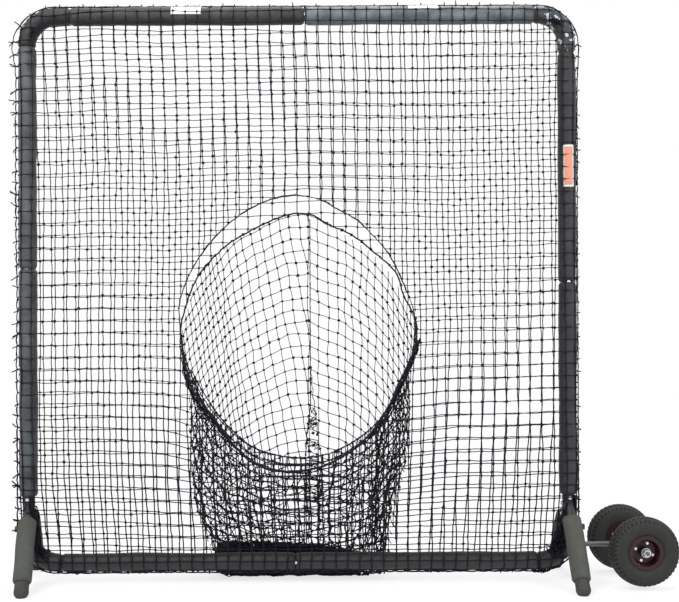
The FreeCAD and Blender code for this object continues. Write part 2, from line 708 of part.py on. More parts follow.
def hub(centre, out):
    """The hub tube, its bearing seats and the flange that the rim is bolted to."""
    half = HUB_LENGTH / 2
    seat = BEARING_RADIUS + SEAT_GAP
    flange_out = -(RIM_SHEET + SEAT_GAP)
    flange_in = flange_out - HUB_FLANGE
    points = [
        (seat, half), (HUB_RADIUS, half), (HUB_RADIUS, flange_out), (HUB_FLANGE_RADIUS, flange_out),
        (HUB_FLANGE_RADIUS, flange_in), (HUB_RADIUS, flange_in), (HUB_RADIUS, -half), (seat, -half),
        (seat, -half + BEARING_WIDTH), (seat - HUB_SHOULDER, -half + BEARING_WIDTH),
        (seat - HUB_SHOULDER, half - BEARING_WIDTH), (seat, half - BEARING_WIDTH),
    ]
    body = turned([(radius, out * y) for radius, y in points], centre)
    for hole in rim_bolt_places(centre):
        reach = Vector(0, RIM_HALF_WIDTH, 0)
        body = body.cut(rod(hole.sub(reach), hole.add(reach), RIM_BOLT_RADIUS + HOLE_GAP))
    return body


def bearings(centre):
    """Two sealed ball bearings, pressed into the hub's ends."""
    half = HUB_LENGTH / 2
    bore = AXLE_RADIUS + RUNNING_GAP
    made = []
    for way in (-1, 1):
        near = way * (half - BEARING_WIDTH + SEAT_GAP)
        far = way * half
        seal = far - way * BEARING_SEAL_DIP
        points = [
            (bore, near), (BEARING_RADIUS, near), (BEARING_RADIUS, far),
            (BEARING_RADIUS - BEARING_RACE, far), (BEARING_RADIUS - BEARING_RACE, seal),
            (bore + BEARING_RACE, seal), (bore + BEARING_RACE, far), (bore, far),
        ]
        made.append(turned(points, centre))
    return Part.makeCompound(made)


def rim_fasteners(centre, out):
    """The four bolts through the rim halves and the hub's flange, with their nuts."""
    made = []
    outward = Vector(0, out, 0)
    inward = Vector(0, -out, 0)
    front = RIM_SHEET + SEAT_GAP / 2 + SEAT_GAP
    back = RIM_SHEET + SEAT_GAP + HUB_FLANGE + SEAT_GAP
    for place in rim_bolt_places(centre):
        seat = place.add(Vector(outward).multiply(front))
        end = place.add(Vector(inward).multiply(back + RIM_HEAD_HEIGHT + RIM_BOLT_PAST_NUT))
        head = hexagon(seat, outward, RIM_HEAD_RADIUS, RIM_HEAD_HEIGHT)
        made.append(head.fuse(rod(seat, end, RIM_BOLT_RADIUS)))
        far = place.add(Vector(inward).multiply(back))
        made.append(nut(far, inward, RIM_HEAD_RADIUS, RIM_HEAD_HEIGHT, RIM_BOLT_RADIUS + SEAT_GAP))
    return Part.makeCompound(made)


# Net: two faces of the pillowcase that is slipped over the frame, and its edges

def oval(height, half_width, half_height, y):
    """An upright ellipse in a plane parallel to the screen, as a wire."""
    centre = Vector(0, y, height)
    tall = Part.Ellipse(
        centre.add(Vector(0, 0, half_height)), centre.add(Vector(half_width, 0, 0)), centre)
    return Part.Wire([tall.toShape()])


def net_outline(y):
    """The net's edge on the crest of the padding, stepped in at the leg sockets."""
    wide = HALF_WIDTH
    bend = BEND_RADIUS
    flat = wide - bend
    top = TOP_RAIL
    low = RAIL_HEIGHT
    step_x = wide - NOTCH_WIDTH
    step_angle = math.acos((step_x - flat) / bend)
    step_z = low + bend - bend * math.sin(step_angle)
    mid_angle = (step_angle + math.pi / 2) / 2
    mid_x = flat + bend * math.cos(mid_angle)
    mid_z = low + bend - bend * math.sin(mid_angle)
    diagonal = bend * math.sqrt(0.5)
    edges = [
        line(at(-wide, NOTCH_TOP), at(-wide, top - bend)),
        arc(at(-wide, top - bend), at(-flat - diagonal, top - bend + diagonal), at(-flat, top)),
        line(at(-flat, top), at(flat, top)),
        arc(at(flat, top), at(flat + diagonal, top - bend + diagonal), at(wide, top - bend)),
        line(at(wide, top - bend), at(wide, NOTCH_TOP)),
        line(at(wide, NOTCH_TOP), at(step_x, NOTCH_TOP)),
        line(at(step_x, NOTCH_TOP), at(step_x, step_z)),
        arc(at(step_x, step_z), at(mid_x, mid_z), at(flat, low)),
        line(at(flat, low), at(-flat, low)),
        arc(at(-flat, low), at(-mid_x, mid_z), at(-step_x, step_z)),
        line(at(-step_x, step_z), at(-step_x, NOTCH_TOP)),
        line(at(-step_x, NOTCH_TOP), at(-wide, NOTCH_TOP)),
    ]
    outline = Part.Wire(edges)
    outline.translate(Vector(0, y, 0))
    return outline


def net_columns():
    """The X of each upright strand."""
    pitch = SCREEN_WIDTH / NET_COLUMNS
    return [-HALF_WIDTH + pitch * step for step in range(NET_COLUMNS + 1)]


def net_rows():
    """The height of each level strand."""
    pitch = SCREEN_HEIGHT / NET_ROWS
    return [RAIL_HEIGHT + pitch * step for step in range(NET_ROWS + 1)]


def net_gaps(y, height, half_width, half_height):
    """The square gaps between strands, trimmed round the ring and inside the hem."""
    columns = net_columns()
    rows = net_rows()
    hem = net_outline(y).makeOffset2D(-NET_HEM)
    inside = Part.Face(hem)
    band = Part.Face(oval(height, half_width + RING_BAND, half_height + RING_BAND, y))
    gaps = []
    for left, right in zip(columns, columns[1:]):
        for low, high in zip(rows, rows[1:]):
            corners = [
                Vector(left + NET_STRAND / 2, y, low + NET_STRAND / 2),
                Vector(right - NET_STRAND / 2, y, low + NET_STRAND / 2),
                Vector(right - NET_STRAND / 2, y, high - NET_STRAND / 2),
                Vector(left + NET_STRAND / 2, y, high - NET_STRAND / 2),
            ]
            cell = Part.Face(Part.makePolygon(corners + [corners[0]]))
            trimmed = cell.common(inside).cut(band)
            for face in trimmed.Faces:
                if face.Area > SMALLEST_GAP ** 2:
                    gaps.append(face.OuterWire)
    return gaps


def net_face(way, height, half_width, half_height):
    """One face of the net: a thin sheet with square gaps and the target hole."""
    y = NET_INNER * way
    outline = net_outline(y)
    hole = oval(height, half_width, half_height, y)
    gaps = net_gaps(y, height, half_width, half_height)
    sheet = Part.Face(outline).cut([Part.Face(hole)] + [Part.Face(gap) for gap in gaps])
    print("net gaps", len(gaps))
    return sheet.Faces[0].extrude(Vector(0, way * NET_THICKNESS, 0))


def half_ring(centre, along, outward):
    """A strand that passes round a pad from the front of the net to the back."""
    start = centre.sub(Vector(along).multiply(NET_STRAND / 2))
    front = Vector(0, -1, 0)
    near = start.add(Vector(front).multiply(NET_INNER))
    far = start.add(Vector(front).multiply(NET_OUTER))
    width = Vector(along).multiply(NET_STRAND)
    face = Part.Face(Part.makePolygon([near, far, far.add(width), near.add(width), near]))
    axis = front.cross(outward)
    return face.revolve(centre, axis, 180)


def edge_strands():
    """The strands round the padding, on the net's rows and columns."""
    made = []
    clear = PAD_JOINT_GAP
    flat = HALF_WIDTH - BEND_RADIUS
    for side, name in ((-1, "left"), (1, "right")):
        for height in net_rows():
            on_post = NOTCH_TOP + NET_STRAND < height < TOP_RAIL - BEND_RADIUS
            if on_post and abs(height - JOINTS[name].z) > clear:
                centre = Vector(side * HALF_WIDTH, 0, height)
                made.append(half_ring(centre, Z_AXIS, Vector(side, 0, 0)))
    for level, name in ((-1, "bottom"), (1, "top")):
        rail = JOINTS[name].z
        for across in net_columns():
            if abs(across) < flat and abs(across - JOINTS[name].x) > clear:
                centre = Vector(across, 0, rail)
                made.append(half_ring(centre, X_AXIS, Vector(0, 0, level)))
    return Part.makeCompound(made)


def edge_cord_top():
    """The selvedge cord outside the padding, up one post, along the top and down the other."""
    wide = HALF_WIDTH + EDGE_CORD_OFFSET
    top = TOP_RAIL + EDGE_CORD_OFFSET
    bend = BEND_RADIUS + EDGE_CORD_OFFSET
    diagonal = bend * math.sqrt(0.5)
    centre_z = top - bend
    centre_x = wide - bend
    edges = [
        line(at(-wide, NOTCH_TOP), at(-wide, centre_z)),
        arc(at(-wide, centre_z), at(-centre_x - diagonal, centre_z + diagonal), at(-centre_x, top)),
        line(at(-centre_x, top), at(centre_x, top)),
        arc(at(centre_x, top), at(centre_x + diagonal, centre_z + diagonal), at(wide, centre_z)),
        line(at(wide, centre_z), at(wide, NOTCH_TOP)),
    ]
    return pipe(Part.Wire(edges), EDGE_CORD_RADIUS)


def edge_cord_bottom():
    """The selvedge cord under the bottom rail."""
    low = RAIL_HEIGHT - EDGE_CORD_OFFSET
    flat = HALF_WIDTH - BEND_RADIUS
    return rod(Vector(-flat, 0, low), Vector(flat, 0, low), EDGE_CORD_RADIUS)


def ring_rope(y, height, half_width, half_height, radius):
    """A rope ring round the target hole: four arcs, the end ones as tight as the ellipse's ends."""
    low = half_width ** 2 / half_height
    high = (half_width ** 2 + half_height ** 2 - 2 * half_height * low) / (2 * (half_width - low))
    lean = math.atan2(half_height - low, high - half_width)
    join_x = low * math.cos(lean)
    join_z = half_height - low + low * math.sin(lean)
    path = Part.Wire([
        arc(at(join_x, join_z), at(0, half_height), at(-join_x, join_z)),
        arc(at(-join_x, join_z), at(-half_width, 0), at(-join_x, -join_z)),
        arc(at(-join_x, -join_z), at(0, -half_height), at(join_x, -join_z)),
        arc(at(join_x, -join_z), at(half_width, 0), at(join_x, join_z)),
    ])
    path.translate(Vector(0, y, height))
    return pipe(path, radius)


# Sock: it starts at the front hole, passes through the back hole and hangs to the ground

MOUTH_TOP = FRONT_RING_HEIGHT + FRONT_RING_HALF_HEIGHT - RING_ROPE_RADIUS - SOFT_GAP
MOUTH_BOTTOM = FRONT_RING_HEIGHT - FRONT_RING_HALF_HEIGHT + RING_ROPE_RADIUS + SOFT_GAP
MOUTH_HALF_WIDTH = FRONT_RING_HALF_WIDTH - RING_ROPE_RADIUS - SOFT_GAP
THROAT_TOP = BACK_RING_HEIGHT + BACK_RING_HALF_HEIGHT - BACK_ROPE_RADIUS - THROAT_GAP
THROAT_BOTTOM = BACK_RING_HEIGHT - BACK_RING_HALF_HEIGHT + BACK_ROPE_RADIUS + THROAT_GAP
THROAT_HALF_WIDTH = BACK_RING_HALF_WIDTH - BACK_ROPE_RADIUS - THROAT_GAP
MOUTH_INSIDE = THROAT_GAP - NET_INNER
THROAT_START = NET_INNER - THROAT_GAP
THROAT_END = NET_OUTER + 2 * BACK_ROPE_RADIUS + THROAT_GAP


def sock_sections():
    """Distance behind the screen, half width, top, bottom and squareness of the lower half."""
    sections = [
        (-NET_OUTER, MOUTH_HALF_WIDTH, MOUTH_TOP, MOUTH_BOTTOM, 2.0),
        (MOUTH_INSIDE, MOUTH_HALF_WIDTH, MOUTH_TOP, MOUTH_BOTTOM, 2.0),
        (THROAT_START, THROAT_HALF_WIDTH, THROAT_TOP, THROAT_BOTTOM, 2.0),
        (THROAT_END, THROAT_HALF_WIDTH, THROAT_TOP, THROAT_BOTTOM, 2.0),
    ]
    for share, narrower, lower, squareness in SOCK_STEPS:
        bottom = SOCK_GROUND_GAP
        if share == SOCK_STEPS[0][0]:
            bottom = SOCK_DROP_HEIGHT
        if share == SOCK_STEPS[-1][0]:
            bottom = SOCK_GROUND_GAP + SOCK_END_LIFT
        behind = THROAT_END + (SOCK_DEPTH - THROAT_END) * share
        sections.append(
            (behind, THROAT_HALF_WIDTH - narrower, THROAT_TOP - lower, bottom, squareness))
    return sections


def sock_wire(y, half_width, top, bottom, squareness):
    """A closed curve: round above, squarer below."""
    middle = (top + bottom) / 2
    half = (top - bottom) / 2
    points = []
    for step in range(SOCK_POINTS):
        angle = 2 * math.pi * step / SOCK_POINTS
        power = 2 / squareness if math.sin(angle) < 0 else 1.0
        across = math.copysign(abs(math.cos(angle)) ** power, math.cos(angle))
        up = math.copysign(abs(math.sin(angle)) ** power, math.sin(angle))
        points.append(Vector(half_width * across, y, middle + half * up))
    curve = Part.BSplineCurve()
    curve.interpolate(points, PeriodicFlag=True)
    return Part.Wire([curve.toShape()])


def inset(outline, side):
    """An outline of (y, place) corners moved by the wall's thickness: side is 1 upwards, -1 downwards."""
    sides = []
    for (near, start), (far, end) in zip(outline, outline[1:]):
        slope = (end - start) / (far - near)
        sides.append((slope, start - slope * near + side * SOCK_WALL * math.hypot(1, slope)))
    corners = [(outline[0][0] - SOCK_MOUTH_LIP, sides[0][0] * outline[0][0] + sides[0][1])]
    for corner, (slope, base), (next_slope, next_base) in zip(outline[1:], sides, sides[1:]):
        y = corner[0]
        if abs(slope - next_slope) > 0.01:
            y = (next_base - base) / (slope - next_slope)
        corners.append((y, slope * y + base))
    end_y = outline[-1][0] - SOCK_WALL
    corners.append((end_y, sides[-1][0] * end_y + sides[-1][1]))
    return corners


def place_at(corners, y):
    """Where an outline of (y, place) corners is at y."""
    for (near, start), (far, end) in zip(corners, corners[1:]):
        if y <= far:
            return start + (end - start) * (y - near) / (far - near)
    return corners[-1][1]


def sock():
    """The catching bag, a thin shell with a real mouth at the target hole.

    It is laced together from a collar panel in front of the seam and a bag panel behind it.
    """
    sections = sock_sections()
    sides = inset([(section[0], section[1]) for section in sections], -1)
    tops = inset([(section[0], section[2]) for section in sections], -1)
    bottoms = inset([(section[0], section[3]) for section in sections], 1)
    squares = [(section[0], section[4]) for section in sections]
    places = []
    for y in sorted(corner[0] for corner in sides + tops + bottoms):
        if not places or y - places[-1] > SOCK_STEP:
            places.append(y)
    places[-1] = sides[-1][0]
    outer = [sock_wire(*section) for section in sections]
    inner = []
    for y in places:
        square = place_at(squares, max(y, squares[0][0]))
        inner.append(sock_wire(y, place_at(sides, y), place_at(tops, y), place_at(bottoms, y), square))
    shell = Part.makeLoft(outer, True, True).cut(Part.makeLoft(inner, True, True))
    seam_front = SOCK_SEAM - SOFT_GAP / 2
    seam_back = SOCK_SEAM + SOFT_GAP / 2
    panels = []
    for near, far in ((-NET_OUTER, seam_front), (seam_back, SOCK_DEPTH)):
        slab = Part.makeBox(SCREEN_WIDTH, far - near, TOP_RAIL, Vector(-HALF_WIDTH, near, 0))
        panels.extend(shell.common(slab).Solids)
    return Part.makeCompound(panels)


def check(name, shape):
    """Say if a piece isn't made of sound solids."""
    if not shape.isValid() or not shape.Solids:
        print("unsound", name)


def build():
    """Make every piece and write it."""
    os.makedirs("parts", exist_ok=True)
    made = {}
    for level in (1, -1):
        for side in (-1, 1):
            made["frame_tube_" + corner_name(side, level)] = frame_tube(side, level)
    made["frame_bolts"], made["frame_nuts"] = frame_bolts()
    made.update(pads())
    screws = []
    for side, side_name in ((-1, "left"), (1, "right")):
        made["leg_socket_" + side_name] = leg_socket(side)
        for front, front_name in ((-1, "front"), (1, "rear")):
            place = front_name + "_" + side_name
            made["leg_tube_" + place] = leg_tube(side, front)
            made["leg_pad_" + place] = leg_pad(side, front)
            made["foot_tip_" + place] = foot_tip(side, front)
            screws.append(thumb_screw(side, front))
    made["leg_screws"] = Part.makeCompound(screws)
    made["wheel_arm"] = wheel_arm()
    made["wheel_arm_bolts"], made["wheel_arm_nuts"] = wheel_arm_fasteners()
    made["axle"], made["axle_washers"], made["axle_nuts"] = axle_parts()
    for out, name in ((-1, "front"), (1, "rear")):
        centre = Vector(AXLE_REACH, out * WHEEL_OFFSET, AXLE_HEIGHT)
        made["tyre_" + name] = tyre(centre)
        made["inner_tube_" + name] = inner_tube(centre, out)
        made["rim_outer_" + name] = rim_half(centre, out, True)
        made["rim_inner_" + name] = rim_half(centre, -out, False)
        made["hub_" + name] = hub(centre, out)
        made["bearings_" + name] = bearings(centre)
        made["rim_fasteners_" + name] = rim_fasteners(centre, out)
    front_hole = (FRONT_RING_HALF_WIDTH - RING_ROPE_RADIUS, FRONT_RING_HALF_HEIGHT - RING_ROPE_RADIUS)
    back_hole = (BACK_RING_HALF_WIDTH - BACK_ROPE_RADIUS, BACK_RING_HALF_HEIGHT - BACK_ROPE_RADIUS)
    made["net_front"] = net_face(-1, FRONT_RING_HEIGHT, *front_hole)
    made["net_back"] = net_face(1, BACK_RING_HEIGHT, *back_hole)
    made["net_edge_strands"] = edge_strands()
    made["net_edge_cords"] = Part.makeCompound([edge_cord_top(), edge_cord_bottom()])
    made["target_ring_front"] = ring_rope(
        -(NET_OUTER + SOFT_GAP + RING_ROPE_RADIUS), FRONT_RING_HEIGHT, FRONT_RING_HALF_WIDTH,
        FRONT_RING_HALF_HEIGHT, RING_ROPE_RADIUS)
    made["target_ring_back"] = ring_rope(
        NET_OUTER + SOFT_GAP + BACK_ROPE_RADIUS, BACK_RING_HEIGHT, BACK_RING_HALF_WIDTH,
        BACK_RING_HALF_HEIGHT, BACK_ROPE_RADIUS)
    made["sock"] = sock()
    for name, shape in made.items():
        check(name, shape)
        save(name, shape)
    print("pieces", len(made), "shift", SHIFT)


build()
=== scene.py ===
"""Pitching target net: a padded tube screen with a knotted net and sock, on splayed legs, with a wheel kit.

Everything is in metres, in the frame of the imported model: X to the right as the pitcher sees it, Y away
from the pitcher, Z up from the ground.
"""
import math

import bpy
import numpy as np
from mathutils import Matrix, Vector


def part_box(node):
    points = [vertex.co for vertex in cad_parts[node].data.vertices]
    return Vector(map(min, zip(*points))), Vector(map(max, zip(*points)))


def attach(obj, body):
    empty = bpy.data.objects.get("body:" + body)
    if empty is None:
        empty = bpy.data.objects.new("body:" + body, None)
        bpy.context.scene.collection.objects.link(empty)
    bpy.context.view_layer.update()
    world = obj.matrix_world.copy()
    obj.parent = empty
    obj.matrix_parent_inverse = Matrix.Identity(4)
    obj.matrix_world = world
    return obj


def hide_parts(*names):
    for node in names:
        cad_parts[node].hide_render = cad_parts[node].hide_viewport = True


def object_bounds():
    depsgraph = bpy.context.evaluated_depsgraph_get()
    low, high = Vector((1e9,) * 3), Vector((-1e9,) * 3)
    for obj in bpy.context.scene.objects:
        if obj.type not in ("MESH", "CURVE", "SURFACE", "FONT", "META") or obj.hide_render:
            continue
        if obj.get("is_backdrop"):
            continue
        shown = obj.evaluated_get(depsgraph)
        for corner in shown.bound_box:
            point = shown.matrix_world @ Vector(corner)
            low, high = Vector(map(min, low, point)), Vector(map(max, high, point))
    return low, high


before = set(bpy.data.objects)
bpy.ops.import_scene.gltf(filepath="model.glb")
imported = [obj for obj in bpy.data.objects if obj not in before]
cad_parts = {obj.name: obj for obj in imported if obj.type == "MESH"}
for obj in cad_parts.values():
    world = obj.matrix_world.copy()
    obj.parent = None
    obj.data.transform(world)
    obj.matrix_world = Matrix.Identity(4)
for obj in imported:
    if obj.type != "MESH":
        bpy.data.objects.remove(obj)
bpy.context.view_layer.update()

# The screen's own lines, read from the frame: the axes of its tubes, the plane that they lie in and the
# bend at its corners. Every soft piece is laid out from these.
TUBE = 0.01905
BEND = 0.110
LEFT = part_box("frame_tube_top_left")[0].x + TUBE
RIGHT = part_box("frame_tube_top_right")[1].x - TUBE
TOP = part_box("frame_tube_top_left")[1].z - TUBE
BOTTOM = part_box("frame_tube_bottom_left")[0].z + TUBE
PLANE = (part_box("frame_tube_top_left")[0].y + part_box("frame_tube_top_left")[1].y) / 2
MIDDLE = (LEFT + RIGHT) / 2
HALF = (RIGHT - LEFT) / 2

# The camera stands level in front of the screen, a little right of its middle and at chest height.
# The picture is cut from the side of a wider view, so the lens is shifted rather than turned.
CAMERA_DISTANCE = 3.900
CAMERA_RIGHT = 0.0458
CAMERA_HEIGHT = 0.9134
SENSOR = 36.0
PICTURE_WIDTH = 679
PICTURE_HEIGHT = 602
FOCAL_PIXELS = 1022.6
VANISH_X = 310.0
VANISH_Y = 342.0
CAMERA_ROLL = -0.25

camera_data = bpy.data.cameras.new("camera")
camera_data.sensor_width = SENSOR
camera_data.lens = SENSOR * FOCAL_PIXELS / PICTURE_WIDTH
camera_data.shift_x = (PICTURE_WIDTH / 2 - VANISH_X) / PICTURE_WIDTH
camera_data.shift_y = (VANISH_Y - PICTURE_HEIGHT / 2) / PICTURE_WIDTH
camera_data.clip_end = 100.0
camera = bpy.data.objects.new("camera", camera_data)
camera.location = (MIDDLE + CAMERA_RIGHT, PLANE - CAMERA_DISTANCE, CAMERA_HEIGHT)
camera.rotation_euler = (math.radians(90), 0, 0)
camera.rotation_euler.rotate_axis("Z", math.radians(CAMERA_ROLL))
bpy.context.scene.collection.objects.link(camera)
bpy.context.scene.camera = camera
bpy.context.scene.view_settings.view_transform = "Standard"


def linear(code):
    """An sRGB hex colour as the linear colour that shaders take."""
    parts = [int(code[start:start + 2], 16) / 255 for start in (1, 3, 5)]
    return [p / 12.92 if p <= 0.04045 else ((p + 0.055) / 1.055) ** 2.4 for p in parts] + [1.0]


def add(tree, kind, settings, links=()):
    """Add a shader node. settings are values by socket or property, links are (socket, output) pairs."""
    made = tree.nodes.new(kind)
    for key, value in settings.items():
        if isinstance(key, int) or key in made.inputs:
            made.inputs[key].default_value = value
        else:
            setattr(made, key, value)
    for key, output in links:
        tree.links.new(output, made.inputs[key])
    return made


def seen_or_lit(tree, lit_by, seen_as):
    """Join two shaders: what lights the object, and what the lens, shiny and clear things see."""
    rays = add(tree, "ShaderNodeLightPath", {})
    shiny = add(
        tree, "ShaderNodeMath", {"operation": "MAXIMUM"},
        [(0, rays.outputs["Is Camera Ray"]), (1, rays.outputs["Is Glossy Ray"])])
    either = add(
        tree, "ShaderNodeMath", {"operation": "MAXIMUM"},
        [(0, shiny.outputs[0]), (1, rays.outputs["Is Transmission Ray"])])
    return add(
        tree, "ShaderNodeMixShader", {},
        [(0, either.outputs[0]), (1, lit_by.outputs[0]), (2, seen_as.outputs[0])])


# The floor is a pale matt studio floor that runs out of sight, and the backdrop is plain white. The lens
# and shiny things see it white, and near the object it keeps the object's soft shadow.
FLOOR_SIZE = 60.0
SHADOW_REACH = 1.5
SHADOW_FADE = 2.6
FLOOR_GLOW = 0.74

floor_mesh = bpy.data.meshes.new("floor")
half_floor = FLOOR_SIZE / 2
floor_mesh.from_pydata(
    [(-half_floor, -half_floor, 0), (half_floor, -half_floor, 0), (half_floor, half_floor, 0),
     (-half_floor, half_floor, 0)], [], [(0, 1, 2, 3)])
floor = bpy.data.objects.new("floor", floor_mesh)
bpy.context.scene.collection.objects.link(floor)
floor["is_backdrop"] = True

floor_finish = bpy.data.materials.new("matt white studio floor")
floor_finish.use_nodes = True
tree = floor_finish.node_tree
tree.nodes.clear()
place = add(tree, "ShaderNodeNewGeometry", {})
reach = add(tree, "ShaderNodeVectorMath", {"operation": "LENGTH"}, [(0, place.outputs["Position"])])
fade = add(tree, "ShaderNodeMapRange", {1: SHADOW_REACH, 2: SHADOW_FADE}, [(0, reach.outputs["Value"])])
paint = add(tree, "ShaderNodeBsdfDiffuse", {"Color": linear("#e6e6e4")})
shadowed = add(tree, "ShaderNodeBsdfDiffuse", {"Color": linear("#9a9a98")})
glow = add(tree, "ShaderNodeEmission", {"Color": (1, 1, 1, 1), "Strength": FLOOR_GLOW})
lit = add(tree, "ShaderNodeAddShader", {}, [(0, shadowed.outputs[0]), (1, glow.outputs[0])])
white = add(tree, "ShaderNodeEmission", {"Color": (1, 1, 1, 1), "Strength": 1.0})
seen = add(
    tree, "ShaderNodeMixShader", {},
    [(0, fade.outputs[0]), (1, lit.outputs[0]), (2, white.outputs[0])])
chosen = seen_or_lit(tree, paint, seen)
add(tree, "ShaderNodeOutputMaterial", {}, [(0, chosen.outputs[0])])
floor_mesh.materials.append(floor_finish)

# The light is a studio's: an even pale surround, one large soft lamp above and in front on the left, and
# a weaker one on the right that opens the shadows.
SURROUND = 0.55

world = bpy.data.worlds.new("studio")
bpy.context.scene.world = world
world.use_nodes = True
tree = world.node_tree
tree.nodes.clear()
surround = add(tree, "ShaderNodeBackground", {"Color": linear("#f4f6fa"), "Strength": SURROUND})
backdrop = add(tree, "ShaderNodeBackground", {"Color": (1, 1, 1, 1), "Strength": 1.0})
chosen = seen_or_lit(tree, surround, backdrop)
add(tree, "ShaderNodeOutputWorld", {}, [(0, chosen.outputs[0])])

for name, spot, size, power in (
        ("lamp_key", (-2.2, -3.4, 4.2), 2.6, 150.0),
        ("lamp_fill", (3.0, -3.2, 2.4), 2.4, 60.0),
        ("lamp_top", (0.2, 0.6, 5.0), 3.0, 90.0)):
    lamp_data = bpy.data.lights.new(name, "AREA")
    lamp_data.shape = "DISK"
    lamp_data.size = size
    lamp_data.energy = power
    lamp = bpy.data.objects.new(name, lamp_data)
    lamp.location = spot
    aim = np.array([MIDDLE, PLANE, 0.9]) - np.array(spot)
    lamp.rotation_mode = "QUATERNION"
    lamp.rotation_quaternion = Vector(aim).to_track_quat("-Z", "Y")
    bpy.context.scene.collection.objects.link(lamp)


# The frame is four bent steel tubes, swaged and plugged into each other, with a satin black powder coat.
# The coat is a thin even skin: a soft sheen with a fine orange peel.
def surface(name):
    """A new material: its node tree, its surface shader and the place on the object in metres."""
    made = bpy.data.materials.new(name)
    made.use_nodes = True
    tree = made.node_tree
    where = add(tree, "ShaderNodeTexCoord", {}).outputs["Object"]
    return made, tree, tree.nodes["Principled BSDF"], where


def mottled(name, dark, light, scale, detail, roughness=0.5, **noise):
    """A new material that drifts between two tones, as surface gives it, and the noise it drifts by."""
    made, tree, shader, where = surface(name)
    cloud = add(
        tree, "ShaderNodeTexNoise", {"Scale": scale, "Detail": detail, **noise}, [("Vector", where)])
    tint = add(
        tree, "ShaderNodeMix", {"data_type": "RGBA", 6: linear(dark), 7: linear(light)},
        [(0, cloud.outputs[0])])
    tree.links.new(tint.outputs[2], shader.inputs["Base Color"])
    shader.inputs["Roughness"].default_value = roughness
    return made, tree, shader, where, cloud


def grained(tree, shader, where, size, detail, strength, height):
    """Give a surface a fine grain: its size is in millimetres and its height in metres."""
    grain = add(tree, "ShaderNodeTexNoise", {"Scale": 1000 / size, "Detail": detail}, [("Vector", where)])
    bump = add(
        tree, "ShaderNodeBump", {"Strength": strength, "Distance": height}, [("Height", grain.outputs[0])])
    tree.links.new(bump.outputs[0], shader.inputs["Normal"])


POWDER_PEEL = 1.2
powder, tree, shader, where, cloud = mottled(
    "satin black powder coat", "#17181a", "#222427", 9.0, 4.0, 0.42)
grained(tree, shader, where, POWDER_PEEL, 2.0, 0.25, 0.0003)


def finish(name, material):
    """Give a piece of the frame its finish."""
    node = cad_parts[name]
    node.data.materials.clear()
    node.data.materials.append(material)
    node.data.shade_smooth()
    node.modifiers.new("edges", "EDGE_SPLIT").split_angle = math.radians(35)


for corner in ("top_left", "top_right", "bottom_left", "bottom_right"):
    finish("frame_tube_" + corner, powder)


# Bolts and nuts hold the tube joints and the collars. They are steel with bright zinc plate, which is
# blue-white and a little cloudy, with fine scratches from the die.
ZINC_GRAIN = 1.5
zinc, tree, shader, where, cloud = mottled(
    "bright zinc plate", "#c8cbd0", "#e4e6e8", 1000 / ZINC_GRAIN, 3.0)
rough = add(tree, "ShaderNodeMapRange", {3: 0.22, 4: 0.42}, [(0, cloud.outputs[0])])
tree.links.new(rough.outputs[0], shader.inputs["Roughness"])
shader.inputs["Metallic"].default_value = 1.0
for name in ("frame_bolts", "frame_nuts"):
    finish(name, zinc)


# The padding is black closed-cell foam tube, slit and pushed over the steel tube. Its skin is dull and
# mottled, and the net's tight strands press shallow rings into it. Each length has its own copy of the foam,
# painted lighter or darker for the light that falls on it: the top right one lightest, the left post's next,
# the right post's and the top left one dark, and the bottom ones darkest, as painted shade.
PAD = 0.034
PAD_RING = 0.011
PAD_SIDES = 36
MESH = 0.04445
STRAND_DENT = 0.0007
TAPER = 0.0055
TAPER_LENGTH = 0.010
JOINT_SEAM = 0.0012
NOTCH = 0.0072
FOAM_CELL = 2.5

painted_light_foams = {}
# Each pair of tones below is painted light and shade for the lengths it is given to; the last pair, for the
# top right corner, also has pale bluish flecks.
for spot, dark, light, fleck in (
        ("left", "#2a2e31", "#555b5f", 2.0), ("right", "#131314", "#2d2d2e", 2.0),
        ("top_left", "#0d0e0f", "#3b3e3f", 2.0), ("top_right", "#35393c", "#7b8286", 2.0),
        ("bottom", "#0a0b0c", "#212122", 2.0), ("scuffed", "#17191b", "#4a4f51", 0.60)):
    foam, tree, shader, where = surface("closed-cell foam skin, " + spot.replace("_", " "))
    blotch = add(
        tree, "ShaderNodeTexNoise", {"Scale": 14.0, "Detail": 6.0, "Roughness": 0.62}, [("Vector", where)])
    spread = add(tree, "ShaderNodeMapRange", {1: 0.3, 2: 0.7}, [(0, blotch.outputs[0])])
    tint = add(
        tree, "ShaderNodeMix", {"data_type": "RGBA", 6: linear(dark), 7: linear(light)},
        [(0, spread.outputs[0])])
    # Pale bluish flecks where the noise passes the threshold; only the top right corner's copy reaches it.
    flecks = add(tree, "ShaderNodeTexNoise", {"Scale": 42.0, "Detail": 3.0}, [("Vector", where)])
    pale_flecks = add(tree, "ShaderNodeMapRange", {1: fleck, 2: fleck + 0.03}, [(0, flecks.outputs[0])])
    tint = add(
        tree, "ShaderNodeMix", {"data_type": "RGBA", 7: linear("#c3c8d6")},
        [(0, pale_flecks.outputs[0]), (6, tint.outputs[2])])
    grained(tree, shader, where, FOAM_CELL, 3.0, 0.35, 0.0006)
    tree.links.new(tint.outputs[2], shader.inputs["Base Color"])
    shader.inputs["Roughness"].default_value = 0.62
    shader.inputs["Sheen Weight"].default_value = 0.15
    painted_light_foams[spot] = foam


def piece(name, points, faces, material, slot, body="screen"):
    """A smooth mesh piece that rides on a body."""
    mesh = bpy.data.meshes.new(name)
    mesh.from_pydata(points, [], faces)
    mesh.validate()
    mesh.materials.append(material)
    mesh.shade_smooth()
    made = bpy.data.objects.new(name, mesh)
    bpy.context.scene.collection.objects.link(made)
    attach(made, body)
    return made


